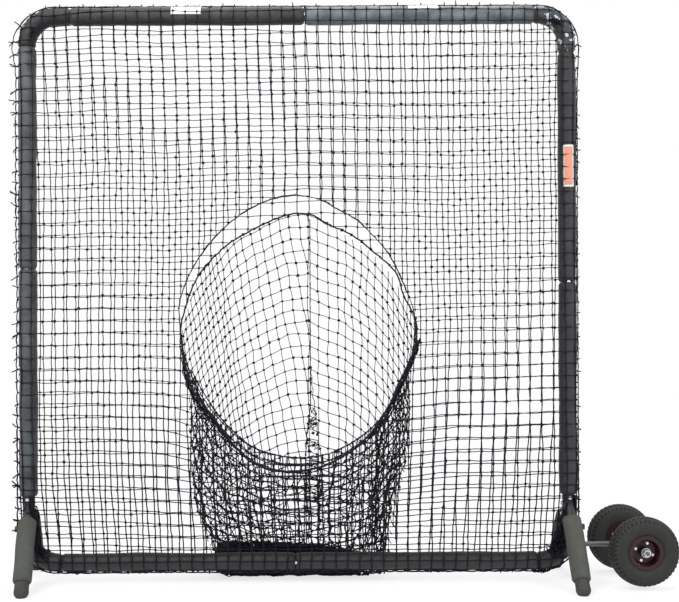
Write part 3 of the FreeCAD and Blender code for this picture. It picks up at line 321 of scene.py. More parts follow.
def frames(path, towards=(0.31, 0.87, 0.38)):
    """Directions ahead, and two square to them that turn as little as they can, along a path.

    The last of the three points towards the given direction where the path starts.
    """
    ahead = np.gradient(path, axis=0)
    ahead /= np.linalg.norm(ahead, axis=1)[:, None]
    side = np.cross(towards, ahead[0])
    sides = np.zeros_like(ahead)
    for number, direction in enumerate(ahead):
        side = side - direction * side.dot(direction)
        side = side / math.sqrt(side.dot(side))
        sides[number] = side
    return ahead, sides, np.cross(ahead, sides)


def ring_quads(rings, sides, start=0):
    """The quads between closed rings of points, each ring joined to the next and the last to the first."""
    faces = []
    for ring in range(rings):
        near = start + ring * sides
        far = start + (ring + 1) % rings * sides
        for here in range(sides):
            after = (here + 1) % sides
            faces.append((near + here, near + after, far + after, far + here))
    return faces


def sleeve(path, radii, bore, sides=PAD_SIDES):
    """Points and faces of a thick sleeve: radii is the outer radius at each point and angle."""
    ahead, right, up = frames(path)
    angle = np.arange(sides) * 2 * math.pi / sides
    round_ = np.cos(angle)[None, :, None] * right[:, None, :] + np.sin(angle)[None, :, None] * up[:, None, :]
    outer = path[:, None, :] + round_ * radii[:, :, None]
    inner = (path[:, None, :] + round_ * bore)[::-1]
    points = np.concatenate([outer.reshape(-1, 3), inner.reshape(-1, 3)])
    return points.tolist(), ring_quads(2 * len(path), sides)


def foam_radii(path, radius, seed, tapers=(True, True), dents=True):
    """A foam sleeve's outer radius: soft waves, a shallow dent at each strand, and drawn-in ends."""
    rng = np.random.default_rng(seed)
    along = np.concatenate([[0], np.cumsum(np.linalg.norm(np.diff(path, axis=0), axis=1))])
    angle = np.arange(PAD_SIDES) * 2 * math.pi / PAD_SIDES
    radii = np.full((len(path), PAD_SIDES), radius)
    for wave in range(7):
        length = rng.uniform(0.06, 0.5)
        turn = rng.integers(0, 4)
        size = 0.00042 * (0.4 + length * 2.2)
        phase = rng.uniform(0, 2 * math.pi)
        radii = radii + size * np.sin(
            along[:, None] * 2 * math.pi / length + turn * angle[None, :] + phase)
    if dents:
        near = np.abs((along + rng.uniform(0, MESH)) % MESH - MESH / 2)
        radii = radii - STRAND_DENT * np.exp(-(near / 0.004) ** 2)[:, None]
    for end, tapered in zip((along, along[-1] - along), tapers):
        if tapered:
            share = np.clip(1 - end / TAPER_LENGTH, 0, 1)
            radii = radii - (TAPER * share ** 2)[:, None]
    return np.minimum(radii, radius + 0.0022)


def straight(start, end, step=PAD_RING):
    """Evenly spaced points on a straight line."""
    start = np.array(start, float)
    end = np.array(end, float)
    count = max(int(np.linalg.norm(end - start) / step), 2)
    share = np.linspace(0, 1, count + 1)[:, None]
    return start + (end - start) * share


def pad(name, path, seed, notch):
    """A foam sleeve on the frame. Where it meets its fellow it may be nicked in front, round the bolt."""
    points, faces = sleeve(path, foam_radii(path, PAD, seed), TUBE + 0.0004)
    rows = np.array(points).reshape(-1, PAD_SIDES, 3)
    for end in (0, -1) if notch else ():
        if np.linalg.norm(path[end] - notch) < 0.01:
            ahead = (path[end] - path[1 if end == 0 else -2]) / np.linalg.norm(path[1] - path[0])
            for row in (end, len(path) if end else -1):
                out = (rows[row] - path[end]) / np.linalg.norm(rows[row] - path[end], axis=1)[:, None]
                turn = np.arccos(np.clip(-out[:, 1], -1, 1))
                rows[row] -= ahead * (NOTCH * np.exp(-(turn / 0.30) ** 2))[:, None]
    spot = name if name in painted_light_foams else name.split("_")[0]
    made = piece("foam_" + name, rows.reshape(-1, 3).tolist(), faces, painted_light_foams[spot], "pad")
    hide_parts("pad_" + name)


for seed, (first, second, notched) in enumerate((
        ("left_lower", "left_upper", False), ("right_lower", "right_upper", True),
        ("top_left", "top_right", False), ("bottom_left", "bottom_right", True))):
    low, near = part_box("pad_" + first)
    far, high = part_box("pad_" + second)
    if "er" in first:
        x = LEFT if "left" in first else RIGHT
        joint = (near.z + far.z) / 2
        ends = [(x, PLANE, z) for z in (low.z, joint - JOINT_SEAM, joint + JOINT_SEAM, high.z)]
    else:
        z = TOP if "top" in first else BOTTOM
        joint = (near.x + far.x) / 2
        ends = [(x, PLANE, z) for x in (low.x, joint - JOINT_SEAM, joint + JOINT_SEAM, high.x)]
    pad(first, straight(*ends[:2]), 11 + 2 * seed, ends[1] if notched else None)
    pad(second, straight(*ends[2:]), 12 + 2 * seed, ends[2] if notched else None)


# The corner pads are the same foam, bent round the frame's corners, so the skin wrinkles inside the bend.
WRINKLE = 0.0013
BEND_START = {"bottom": 25.0, "top": 0.0}
for seed, (level, side) in enumerate((
        ("top", "left"), ("top", "right"), ("bottom", "left"), ("bottom", "right"))):
    low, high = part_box("pad_corner_" + level + "_" + side)
    way = -1 if side == "left" else 1
    rise = 1 if level == "top" else -1
    post_x = LEFT if way < 0 else RIGHT
    rail_z = TOP if rise > 0 else BOTTOM
    angles = np.radians(np.linspace(BEND_START[level], 90, 22))
    bend = np.array([post_x - way * BEND, PLANE, rail_z - rise * BEND]) + BEND * np.stack(
        [way * np.cos(angles), np.zeros_like(angles), rise * np.sin(angles)], axis=1)
    inner = low.x if way > 0 else high.x
    parts = [bend[:-1], straight(bend[-1], (inner, PLANE, rail_z))]
    if level == "top":
        parts.insert(0, straight((post_x, PLANE, low.z), bend[0])[:-1])
    path = np.concatenate(parts)
    radii = foam_radii(path, PAD, 31 + seed)
    row = np.arange(len(path))[:, None]
    angle = np.arange(PAD_SIDES)[None, :] * 2 * math.pi / PAD_SIDES
    radii = radii - WRINKLE * np.abs(np.sin(0.9 * row + 1.3 * np.sin(3 * angle)))
    # The top right corner takes a lighter copy of the foam with pale flecks, painted light; the other corners
    # take the bottom's darkest copy, painted shade.
    spot = "scuffed" if level + side == "topright" else "bottom"
    made = piece("foam_corner_" + level + "_" + side, *sleeve(path, radii, TUBE + 0.0004), painted_light_foams[spot], "pad")
    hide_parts("pad_corner_" + level + "_" + side)


# Three thin vinyl patches lie on the foam, under the net: two plain white ones on the top rail and one on
# the right post, which is a white piece with a smaller coral one on it. They carry no words or picture.
PATCH = 0.0008
PATCH_STEP = 0.004
patch_white, tree, shader, where, cloud = mottled(
    "white vinyl patch", "#d9d9d6", "#f6f6f4", 60.0, 5.0, 0.45)
patch_coral, tree, shader, where, cloud = mottled(
    "coral vinyl panel", "#d77a5c", "#eba184", 90.0, 5.0, 0.45)


def patch(name, axis_point, along, length, low_turn, high_turn, lift, material):
    """A thin curved plate on a foam sleeve, from one turn to another about it, in degrees from the front.

    A positive turn goes up on a rail and outwards to the right on a post.
    """
    axis_point = np.array(axis_point)
    along = np.array(along, float)
    across = np.array([1.0, 0, 0]) if along[2] else np.array([0, 0, 1.0])
    steps = max(int(length / PATCH_STEP), 2)
    turns = np.radians(np.linspace(low_turn, high_turn, 13))
    points = []
    for radius in (PAD + lift, PAD + lift + PATCH):
        for step in range(steps + 1):
            for turn in turns:
                out = np.array([0, -1.0, 0]) * math.cos(turn) + across * math.sin(turn)
                points.append(axis_point + along * length * step / steps + out * radius)
    wide = len(turns)
    layer = (steps + 1) * wide
    faces = []
    for step in range(steps):
        for turn in range(wide - 1):
            a = step * wide + turn
            faces.append((a, a + 1, a + 1 + wide, a + wide))
            faces.append((layer + a, layer + a + wide, layer + a + 1 + wide, layer + a + 1))
    rim = ([step * wide for step in range(steps + 1)] + [steps * wide + turn for turn in range(1, wide)]
           + [step * wide + wide - 1 for step in range(steps - 1, -1, -1)] + list(range(wide - 2, 0, -1)))
    for here, after in zip(rim, rim[1:] + rim[:1]):
        faces.append((here, after, layer + after, layer + here))
    if along[2]:
        faces = [face[::-1] for face in faces]
    return piece(name, [tuple(p) for p in points], faces, material, "pad")


patch("patch_top_left", (MIDDLE - 0.476, PLANE, TOP), (1, 0, 0), 0.114, -4, 62, 0.0012, patch_white)
patch("patch_top_right", (MIDDLE + 0.423, PLANE, TOP), (1, 0, 0), 0.114, 28, 76, 0.0012, patch_white)
patch("patch_post", (RIGHT, PLANE, 1.4965), (0, 0, 1), 0.159, -38, 33, 0.0012, patch_white)
patch("patch_post_panel", (RIGHT, PLANE, 1.504), (0, 0, 1), 0.144, -26, 20, 0.0020, patch_coral)

# Each leg is a steel tube on a welded collar's stub, held by a thumb screw, with a foam sleeve and a
# rubber tip. The steel has the frame's powder coat.
for side in ("left", "right"):
    finish("leg_socket_" + side, powder)
    for end in ("front", "rear"):
        finish("leg_tube_" + end + "_" + side, powder)

# The leg sleeves are a softer, dusty grey-green foam with no skin, so they are matt and a little rough.
LEG_CELL = 1.8
leg_foam, tree, shader, where, cloud = mottled(
    "matt grey-green foam", "#41423d", "#5a5c55", 22.0, 7.0, 0.9, Roughness=0.65)
grained(tree, shader, where, LEG_CELL, 4.0, 0.6, 0.0008)

LEG_ANGLE = 51.0
LEG_TURN = {-1: 8.2, 1: 1.3}
LEG_APEX = 0.305
LEG_LENGTH = LEG_APEX / math.sin(math.radians(LEG_ANGLE))
LEG_PAD_TOP = 0.076
TIP_LENGTH = 0.058
LEG_TUBE = 0.02225


def leg_point(way, front, place):
    """A point on a leg's axis, so far down from the post's axis. Each pair is turned a little."""
    turn = math.radians(LEG_TURN[way])
    along = front * math.cos(math.radians(LEG_ANGLE)) * place
    down = math.sin(math.radians(LEG_ANGLE)) * place
    return np.array([
        (LEFT if way < 0 else RIGHT) + way * along * math.sin(turn), PLANE + along * math.cos(turn),
        LEG_APEX - down])


for seed, (way, side, front, end) in enumerate((
        (-1, "left", -1, "front"), (-1, "left", 1, "rear"),
        (1, "right", -1, "front"), (1, "right", 1, "rear"))):
    path = straight(
        leg_point(way, front, LEG_PAD_TOP), leg_point(way, front, LEG_LENGTH - TIP_LENGTH - 0.0015), 0.008)
    radii = foam_radii(path, PAD, 51 + seed, dents=False)
    made = piece(
        "leg_sleeve_" + end + "_" + side, *sleeve(path, radii, LEG_TUBE + 0.0004), leg_foam, "leg_pad")
    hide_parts("leg_pad_" + end + "_" + side)

# The tips are moulded grey-black rubber, dull and dusty at the sole.
rubber, tree, shader, where, cloud = mottled(
    "moulded black rubber", "#2e2e2b", "#454540", 40.0, 6.0, 0.78)
for side in ("left", "right"):
    for end in ("front", "rear"):
        finish("foot_tip_" + end + "_" + side, rubber)

# The thumb screws' knobs are moulded black nylon, slightly glossy.
nylon, tree, shader, where, cloud = mottled(
    "moulded black nylon", "#141414", "#1f1f1f", 500.0, 2.0, 0.4)
finish("leg_screws", nylon)

# The wheels' pressed rims and their hubs are enamelled dark maroon, and the bearings are ground steel.
for name in ("wheel_arm_bolts", "wheel_arm_nuts", "axle_nuts", "rim_fasteners_front", "rim_fasteners_rear"):
    finish(name, zinc)
dull_zinc, tree, shader, where, cloud = mottled(
    "dull zinc plate", "#55575a", "#7c7f82", 120.0, 4.0, 0.5)
shader.inputs["Metallic"].default_value = 1.0
for name in ("wheel_arm", "axle", "axle_washers"):
    finish(name, dull_zinc)
maroon, tree, shader, where, cloud = mottled(
    "dark maroon enamel", "#150506", "#360f14", 45.0, 5.0, 0.42)
shader.inputs["Specular IOR Level"].default_value = 0.35
shader.inputs["Coat Weight"].default_value = 0.1
for end in ("front", "rear"):
    finish("rim_outer_" + end, maroon)
    finish("rim_inner_" + end, maroon)
    finish("hub_" + end, maroon)
ground, tree, shader, where = surface("ground bearing steel")
cloudy = add(tree, "ShaderNodeTexNoise", {"Scale": 300.0, "Detail": 2.0}, [("Vector", where)])
rough = add(tree, "ShaderNodeMapRange", {3: 0.15, 4: 0.3}, [(0, cloudy.outputs[0])])
tree.links.new(rough.outputs[0], shader.inputs["Roughness"])
shader.inputs["Metallic"].default_value = 1.0
shader.inputs["Base Color"].default_value = linear("#bfc2c4")
for end in ("front", "rear"):
    finish("bearings_" + end, ground)
    finish("inner_tube_" + end, rubber)

# The tyres are moulded rubber with a tread of staggered blocks round the crown and lugs on the shoulders.
# The side walls are plain and a little domed, with a bead line near the rim.
TYRE_HALF = 0.042
TREAD_DEPTH = 0.0045
BLOCKS = 44
tyre_rubber, tree, shader, where, cloud = mottled(
    "moulded tyre rubber", "#0d0d0c", "#252421", 55.0, 7.0, 0.7)

TYRE_OUTLINE = (
    (0.0515, 0.0300), (0.0560, 0.0312), (0.0640, 0.0312), (0.0665, 0.0345), (0.0700, 0.0372),
    (0.0770, 0.0402), (0.0865, 0.0418), (0.0960, 0.0416), (0.1035, 0.0402), (0.1092, 0.0386),
    (0.1096, 0.0384), (0.1152, 0.0362), (0.1156, 0.0359), (0.1200, 0.0325), (0.1203, 0.0321),
    (0.1237, 0.0262), (0.1239, 0.0256), (0.1264, 0.0160), (0.1265, 0.0150), (0.1276, 0.0064),
    (0.1278, 0.0052), (0.1280, 0.0),
)
TREAD_FROM = 0.1092


def tyre(name, centre):
    """A tyre: its outline turned about the axle, with the tread's grooves pressed in between the blocks."""
    right = list(TYRE_OUTLINE)
    left = [(radius, -y) for radius, y in reversed(right[:-1])]
    inside = [(0.0515, -0.0250), (0.0620, -0.0270), (0.0750, -0.0340), (0.0930, -0.0370), (0.1090, -0.0290),
              (0.1170, -0.0120), (0.1170, 0.0120), (0.1090, 0.0290), (0.0930, 0.0370), (0.0750, 0.0340),
              (0.0620, 0.0270), (0.0515, 0.0250)]
    outline = right + left + inside
    steps = BLOCKS * 6
    points = []
    for step in range(steps):
        angle = 2 * math.pi * step / steps
        for radius, y in outline:
            depth = 0.0
            if radius > TREAD_FROM + 0.0001:
                band = 0 if abs(y) < 0.0058 else 1 if abs(y) < 0.0155 else 2 if abs(y) < 0.0259 else 3
                phase = (step + (3 if band % 2 else 0) + (1 if y > 0 else 0)) % 6
                if phase < 2 and (band > 0 or phase == 0):
                    depth = TREAD_DEPTH * (0.8 if band < 3 else 1.0)
                if 0.0052 < abs(y) < 0.0064 or 0.015 < abs(y) < 0.0161 or 0.0255 < abs(y) < 0.0263:
                    depth = max(depth, TREAD_DEPTH * 0.7)
                if radius < TREAD_FROM + 0.0005:
                    depth = 0.0
            narrow = y * (1 - (depth / TYRE_HALF) * 0.5 * (abs(y) > 0.03))
            points.append((centre[0] + (radius - depth) * math.sin(angle), centre[1] + narrow,
                           centre[2] + (radius - depth) * math.cos(angle)))
    faces = ring_quads(steps, len(outline))
    made = piece("tread_" + name, points, faces, tyre_rubber, "tyre", "wheel_" + name)
    made.modifiers.new("edges", "EDGE_SPLIT").split_angle = math.radians(38)
    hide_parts("tyre_" + name)


for end in ("front", "rear"):
    low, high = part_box("tyre_" + end)
    tyre(end, (low + high) / 2)


# The net is a pillowcase of knotted black polyethylene twine with square mesh, drawn over the padded
# frame. A strand is a flat braid that lies on its edge, so it is deeper than it is wide, and each crossing
# is a lump of a knot. The upright strands bear the weight, and the lowest meshes are frayed and thicker.
TWINE = 0.0014
UPRIGHT_TWINE = 0.0018
TWINE_DEPTH = 1.7
FRAY = 0.35
FRAY_TOP = 0.85
FRAY_FULL = 0.35
KNOT = 0.0058
COLUMN_START = -0.9673
ROW_START = 2.0976
NET_OFF = PAD + 0.0016
WRAP = NET_OFF * math.pi / 2
twine, tree, shader, where, cloud = mottled(
    "black knotted polyethylene twine", "#06060b", "#191728", 420.0, 4.0, 0.7)
lay = add(tree, "ShaderNodeTexWave", {"Scale": 260.0, "Distortion": 2.0}, [("Vector", where)])
bump = add(
    tree, "ShaderNodeBump", {"Strength": 0.5, "Distance": 0.0004}, [("Height", lay.outputs[0])])
tree.links.new(bump.outputs[0], shader.inputs["Normal"])
shader.inputs["Specular IOR Level"].default_value = 0.25


def strands(paths, radius, deep=TWINE_DEPTH, sides=4):
    """Points and faces of closed strands along paths, deeper along Y than they are wide."""
    points = []
    faces = []
    start = 0
    angle = np.arange(sides) * 2 * math.pi / sides
    cosine = np.cos(angle)[None, :, None]
    sine = np.sin(angle)[None, :, None] * deep
    for path, own in zip(paths, np.broadcast_to(radius, len(paths))):
        if len(path) < 2:
            continue
        ahead, right, up = frames(path, (0.02, 1.0, 0.03))
        turn = math.atan2(right[len(path) // 2][1], up[len(path) // 2][1])
        right, up = (right * math.cos(turn) - up * math.sin(turn),
                     up * math.cos(turn) + right * math.sin(turn))
        fray = np.clip((FRAY_TOP - path[:, 2]) / (FRAY_TOP - FRAY_FULL), 0, 1)
        wide = (own * (1 + FRAY * fray))[:, None, None]
        rings = path[:, None, :] + wide * (cosine * right[:, None, :] + sine * up[:, None, :])
        points.append(rings.reshape(-1, 3))
        count = len(path)
        row = np.arange(count - 1)[:, None] * sides + start
        here = np.arange(sides)[None, :]
        after = (here + 1) % sides
        quads = np.stack([row + here, row + after, row + sides + after, row + sides + here], axis=2)
        faces.extend(quads.reshape(-1, 4).tolist())
        faces.append([start + k for k in range(sides - 1, -1, -1)])
        faces.append([start + (count - 1) * sides + k for k in range(sides)])
        start += count * sides
    return np.concatenate(points).tolist(), faces


def knots(places, radius, seed):
    """Points and faces of small lumps, turned every way."""
    rng = np.random.default_rng(seed)
    places = np.asarray(places)
    count = len(places)
    turn = rng.normal(size=(count, 3))
    first = turn / np.linalg.norm(turn, axis=1)[:, None]
    second = np.cross(first, rng.normal(size=(count, 3)))
    second /= np.linalg.norm(second, axis=1)[:, None]
    third = np.cross(first, second)
    size = radius * rng.uniform(0.75, 1.25, (count, 1))
    corners = np.stack(
        [places + first * size * 1.15, places + second * size, places + third * size,
         places - first * size * 1.15, places - second * size, places - third * size], axis=1)
    sides = ((0, 1, 2), (1, 3, 2), (3, 4, 2), (4, 0, 2), (1, 0, 5), (3, 1, 5), (4, 3, 5), (0, 4, 5))
    faces = (np.arange(count)[:, None, None] * 6 + np.array(sides)[None]).reshape(-1, 3)
    return corners.reshape(-1, 3).tolist(), faces.tolist()


def joined(*meshes):
    """Several lists of points and faces as one."""
    points = []
    faces = []
    for more_points, more_faces in meshes:
        start = len(points)
        points.extend(more_points)
        faces.extend([[index + start for index in face] for face in more_faces])
    return points, faces


def past_tube(x, z):
    """How far a place of the flat net lies past the tube's line, and the way out from it.

    x and z are metres from the middle of the screen and the ground.
    """
    middle_z = (TOP + BOTTOM) / 2
    flat_x = HALF - BEND
    flat_z = (TOP - BOTTOM) / 2 - BEND
    near_x = np.clip(x, -flat_x, flat_x)
    near_z = np.clip(z - middle_z, -flat_z, flat_z) + middle_z
    out_x = x - near_x
    out_z = z - near_z
    reach = np.maximum(np.hypot(out_x, out_z), 1e-9)
    return reach - BEND, near_x, near_z, out_x / reach, out_z / reach


def over_frame(x, z, face):
    """Where a place of the flat net comes to lie on the padded frame. face is -1 in front, 1 behind."""
    past, near_x, near_z, way_x, way_z = past_tube(x, z)
    turn = np.clip(past, 0, WRAP) / NET_OFF
    outward = BEND + NET_OFF * np.sin(turn)
    where_x = np.where(past > 0, near_x + way_x * outward, x)
    where_z = np.where(past > 0, near_z + way_z * outward, z)
    where_y = np.where(past > 0, NET_OFF * np.cos(turn), NET_OFF)
    return np.stack([MIDDLE + where_x, PLANE + face * where_y, where_z], axis=-1)


def between(table, x, z):
    """A value from a small table that covers the screen, smoothly between its places."""
    across = np.interp(x, TABLE_X, np.arange(len(TABLE_X)))
    down = np.interp(-z, [-v for v in TABLE_Z], np.arange(len(TABLE_Z)))
    values = np.array(table)
    column = np.clip(across.astype(int), 0, values.shape[1] - 2)
    row = np.clip(down.astype(int), 0, values.shape[0] - 2)
    u = across - column
    v = down - row
    upper = values[row, column] * (1 - u) + values[row, column + 1] * u
    lower = values[row + 1, column] * (1 - u) + values[row + 1, column + 1] * u
    return upper * (1 - v) + lower * v


# The net hangs unevenly. At nine places across and nine down, the tables say how many meshes each face's
# knots stand to the right of an even grid, and below it.
TABLE_X = (-0.938, -0.774, -0.526, -0.240, 0.046, 0.332, 0.542, 0.770, 0.942)
TABLE_Z = (2.058, 1.932, 1.760, 1.588, 1.417, 1.035, 0.692, 0.425, 0.177)
FRONT_RIGHT = (
    (0.0, 0.05, 0.1, 0.3, 0.45, 0.75, 0.9, 1.0, 1.2),
    (0.15, 0.25, 0.3, 0.4, 0.65, 0.85, 0.95, 1.0, 1.2),
    (0.2, 0.3, 0.45, 0.5, 0.8, 0.9, 1.0, 1.05, 1.2),
    (0.2, 0.35, 0.4, 0.55, 0.75, 0.9, 0.95, 1.15, 1.25),
    (0.15, 0.25, 0.35, 0.5, 0.75, 0.95, 1.05, 1.25, 1.3),
    (0.1, 0.15, 0.2, 0.35, 0.7, 1.1, 1.3, 1.35, 1.45),
    (0.15, 0.25, 0.3, 0.4, 0.7, 1.2, 1.4, 1.5, 1.55),
    (0.3, 0.35, 0.55, 0.6, 0.8, 1.1, 1.25, 1.45, 1.65),
    (0.55, 0.6, 0.7, 0.85, 0.95, 1.1, 1.2, 1.3, 1.35),
)
SINK = 0.9  # how many meshes the front rows hang down beside the bag, on the left
SINK_PLACE = (-0.385, 0.64)
SINK_REACH = (0.095, 0.25)
FRONT_DOWN = (
    (-0.1, -0.5, -0.5, -0.5, -0.7, -0.7, -0.75, -0.7, -0.7),
    (0.05, -0.25, -0.4, -0.4, -0.65, -0.6, -0.65, -0.6, -0.6),
    (0.2, -0.05, -0.2, -0.3, -0.5, -0.4, -0.45, -0.4, -0.5),
    (0.35, 0.15, 0.0, -0.2, -0.45, -0.3, -0.2, -0.3, -0.3),
    (0.55, 0.3, 0.25, -0.05, -0.35, -0.15, 0.0, -0.1, -0.1),
    (0.9, 0.8, 0.7, 0.5, 0.3, 0.55, 0.45, 0.4, 0.35),
    (1.25, 1.05, 1.0, 0.9, 0.8, 1.35, 0.8, 0.7, 0.6),
    (1.25, 1.2, 1.15, 1.15, 1.1, 1.55, 1.1, 1.0, 0.8),
    (1.35, 1.45, 1.3, 1.3, 1.25, 1.25, 1.25, 1.2, 1.0),
)
BACK_RIGHT = (
    (0.1, 0.15, 0.15, 0.3, 0.35, 0.45, 0.55, 0.6, 0.7),
    (0.25, 0.3, 0.35, 0.4, 0.45, 0.5, 0.5, 0.55, 0.7),
    (0.55, 0.5, 0.45, 0.6, 0.55, 0.6, 0.55, 0.55, 0.6),
    (0.7, 0.75, 0.7, 0.75, 0.65, 0.65, 0.6, 0.6, 0.65),
    (0.8, 0.85, 0.8, 0.8, 0.7, 0.65, 0.55, 0.65, 0.7),
    (0.85, 0.85, 0.8, 0.75, 0.7, 0.7, 0.7, 0.6, 0.6),
    (0.8, 0.75, 0.75, 0.6, 0.5, 0.5, 0.5, 0.5, 0.5),
    (0.9, 0.85, 0.7, 0.5, 0.4, 0.3, 0.25, 0.2, 0.15),
    (1.55, 1.35, 1.1, 0.8, 0.5, 0.2, -0.15, -0.25, -0.3),
)
BACK_DOWN = (
    (0.15, 0.0, 0.25, 0.05, 0.25, 0.3, 0.25, 0.15, 0.0),
    (0.25, 0.2, 0.3, 0.15, 0.3, 0.4, 0.35, 0.15, 0.0),
    (0.45, 0.35, 0.45, 0.2, 0.35, 0.4, 0.45, 0.2, 0.0),
    (0.6, 0.45, 0.65, 0.25, 0.4, 0.55, 0.5, 0.3, 0.1),
    (0.7, 0.65, 0.75, 0.35, 0.45, 0.6, 0.55, 0.4, 0.3),
    (0.9, 0.85, 1.0, 0.9, 0.8, 1.0, 0.75, 0.6, 0.35),
    (0.9, 0.9, 1.2, 1.1, 0.9, 1.4, 0.8, 0.7, 0.55),
    (0.85, 0.9, 1.15, 1.1, 0.95, 1.3, 0.75, 0.75, 0.7),
    (1.0, 0.9, 1.2, 1.1, 0.95, 0.85, 0.75, 0.9, 0.85),
)
LEAN = math.radians(0.25)
KNOT_WANDER = 0.0014
STRAND_WANDER = 0.0017
SLOW_WANDER = 0.0010


def slow_noise(x, z, seed):
    """A slow wave over the net, from a few sines."""
    rng = np.random.default_rng(seed)
    total = np.zeros_like(x)
    for wave in range(8):
        length = rng.uniform(0.14, 0.6)
        turn = rng.uniform(0, 2 * math.pi)
        phase = rng.uniform(0, 2 * math.pi)
        total += np.sin((x * math.cos(turn) + z * math.sin(turn)) * 2 * math.pi / length + phase)
    return total / 4


def net_grid(face, seed):
    """The flat places of a face's knots, by row and column."""
    first = math.floor((-HALF - WRAP - COLUMN_START) / MESH) - 2
    last = math.floor((HALF + WRAP - COLUMN_START) / MESH) + 2
    columns = COLUMN_START + MESH * np.arange(first, last + 1)
    top_row = math.floor((TOP + WRAP - ROW_START) / MESH) + 2
    low_row = math.ceil((BOTTOM - WRAP - ROW_START) / MESH) - 2
    rows = ROW_START + MESH * np.arange(top_row, low_row - 1, -1)
    x, z = np.meshgrid(columns, rows)
    if face < 0:
        place_x = x + MESH * between(FRONT_RIGHT, x, z)
        sink = SINK * np.exp(-((x - SINK_PLACE[0]) / SINK_REACH[0]) ** 2
                             - ((z - SINK_PLACE[1]) / SINK_REACH[1]) ** 2)
        place_z = z - MESH * (between(FRONT_DOWN, x, z) + sink)
    else:
        grow = 1 + 2 * NET_OFF / CAMERA_DISTANCE
        place_x = CAMERA_RIGHT + (x + MESH * between(BACK_RIGHT, x, z) - CAMERA_RIGHT) * grow
        place_z = CAMERA_HEIGHT + (z - MESH * between(BACK_DOWN, x, z) - CAMERA_HEIGHT) * grow
    place_x, place_z = place_x + LEAN * (z - CAMERA_HEIGHT), place_z - LEAN * (x - CAMERA_RIGHT)
    rng = np.random.default_rng(seed)
    place_x = place_x + SLOW_WANDER * slow_noise(x, z, seed + 1) + KNOT_WANDER * rng.uniform(-1, 1, x.shape)
    place_z = place_z + SLOW_WANDER * slow_noise(x, z, seed + 2) + KNOT_WANDER * rng.uniform(-1, 1, x.shape)
    return place_x, place_z


def loop_curve(marks, count):
    """A smooth closed curve through marks, as evenly numbered points."""
    marks = np.array(marks, float)
    total = len(marks)
    points = []
    for step in range(count):
        place = step * total / count
        k = int(place)
        t = place - k
        a, b, c, d = (marks[(k + n) % total] for n in (-1, 0, 1, 2))
        points.append(0.5 * (2 * b + (c - a) * t + (2 * a - 5 * b + 4 * c - d) * t * t
                             + (3 * b - a - 3 * c + d) * t * t * t))
    return np.array(points)


def inside_loop(loop, x, z):
    """How far places lie inside a closed curve round a middle."""
    middle = loop.mean(axis=0)
    turn = np.arctan2(loop[:, 1] - middle[1], loop[:, 0] - middle[0])
    order = np.argsort(turn)
    turns = turn[order]
    far = np.hypot(loop[:, 0] - middle[0], loop[:, 1] - middle[1])[order]
    turns = np.concatenate([turns - 2 * math.pi, turns, turns + 2 * math.pi])
    far = np.concatenate([far, far, far])
    own = np.arctan2(z - middle[1], x - middle[0])
    return np.interp(own, turns, far) - np.hypot(x - middle[0], z - middle[1])


# The two rings, seen square on: metres right of the screen's middle and above the ground. The front one
# is pulled into slight corners by the net, and the back one sits a little higher.
FRONT_RING = (
    (0.000, 1.400), (0.060, 1.393), (0.106, 1.362), (0.180, 1.331), (0.236, 1.297), (0.281, 1.259),
    (0.345, 1.205), (0.381, 1.158), (0.402, 1.085), (0.445, 1.000), (0.448, 0.915), (0.432, 0.858),
    (0.384, 0.760), (0.340, 0.664), (0.262, 0.552), (0.175, 0.485), (0.095, 0.444), (0.010, 0.426),
    (-0.078, 0.426), (-0.132, 0.440), (-0.205, 0.486), (-0.274, 0.560), (-0.335, 0.648), (-0.394, 0.724),
    (-0.420, 0.802), (-0.438, 0.895), (-0.442, 0.975), (-0.420, 1.060), (-0.390, 1.140), (-0.345, 1.205),
    (-0.266, 1.282), (-0.178, 1.335), (-0.092, 1.376), (-0.040, 1.394),
)
BACK_RING = (
    (-0.010, 1.480), (0.090, 1.462), (0.150, 1.428), (0.228, 1.385), (0.285, 1.330), (0.345, 1.262),
    (0.385, 1.190), (0.415, 1.120), (0.444, 1.040), (0.450, 0.940), (0.436, 0.850), (0.395, 0.740),
    (0.320, 0.620), (0.240, 0.545), (0.140, 0.490), (0.030, 0.468), (-0.090, 0.478), (-0.200, 0.520),
    (-0.300, 0.610), (-0.380, 0.720), (-0.432, 0.840), (-0.452, 0.950), (-0.458, 1.060), (-0.430, 1.150),
    (-0.385, 1.235), (-0.310, 1.330), (-0.215, 1.410), (-0.110, 1.462),
)
RING_POINTS = 360
front_loop = loop_curve(FRONT_RING, RING_POINTS)
back_loop = loop_curve(BACK_RING, RING_POINTS)


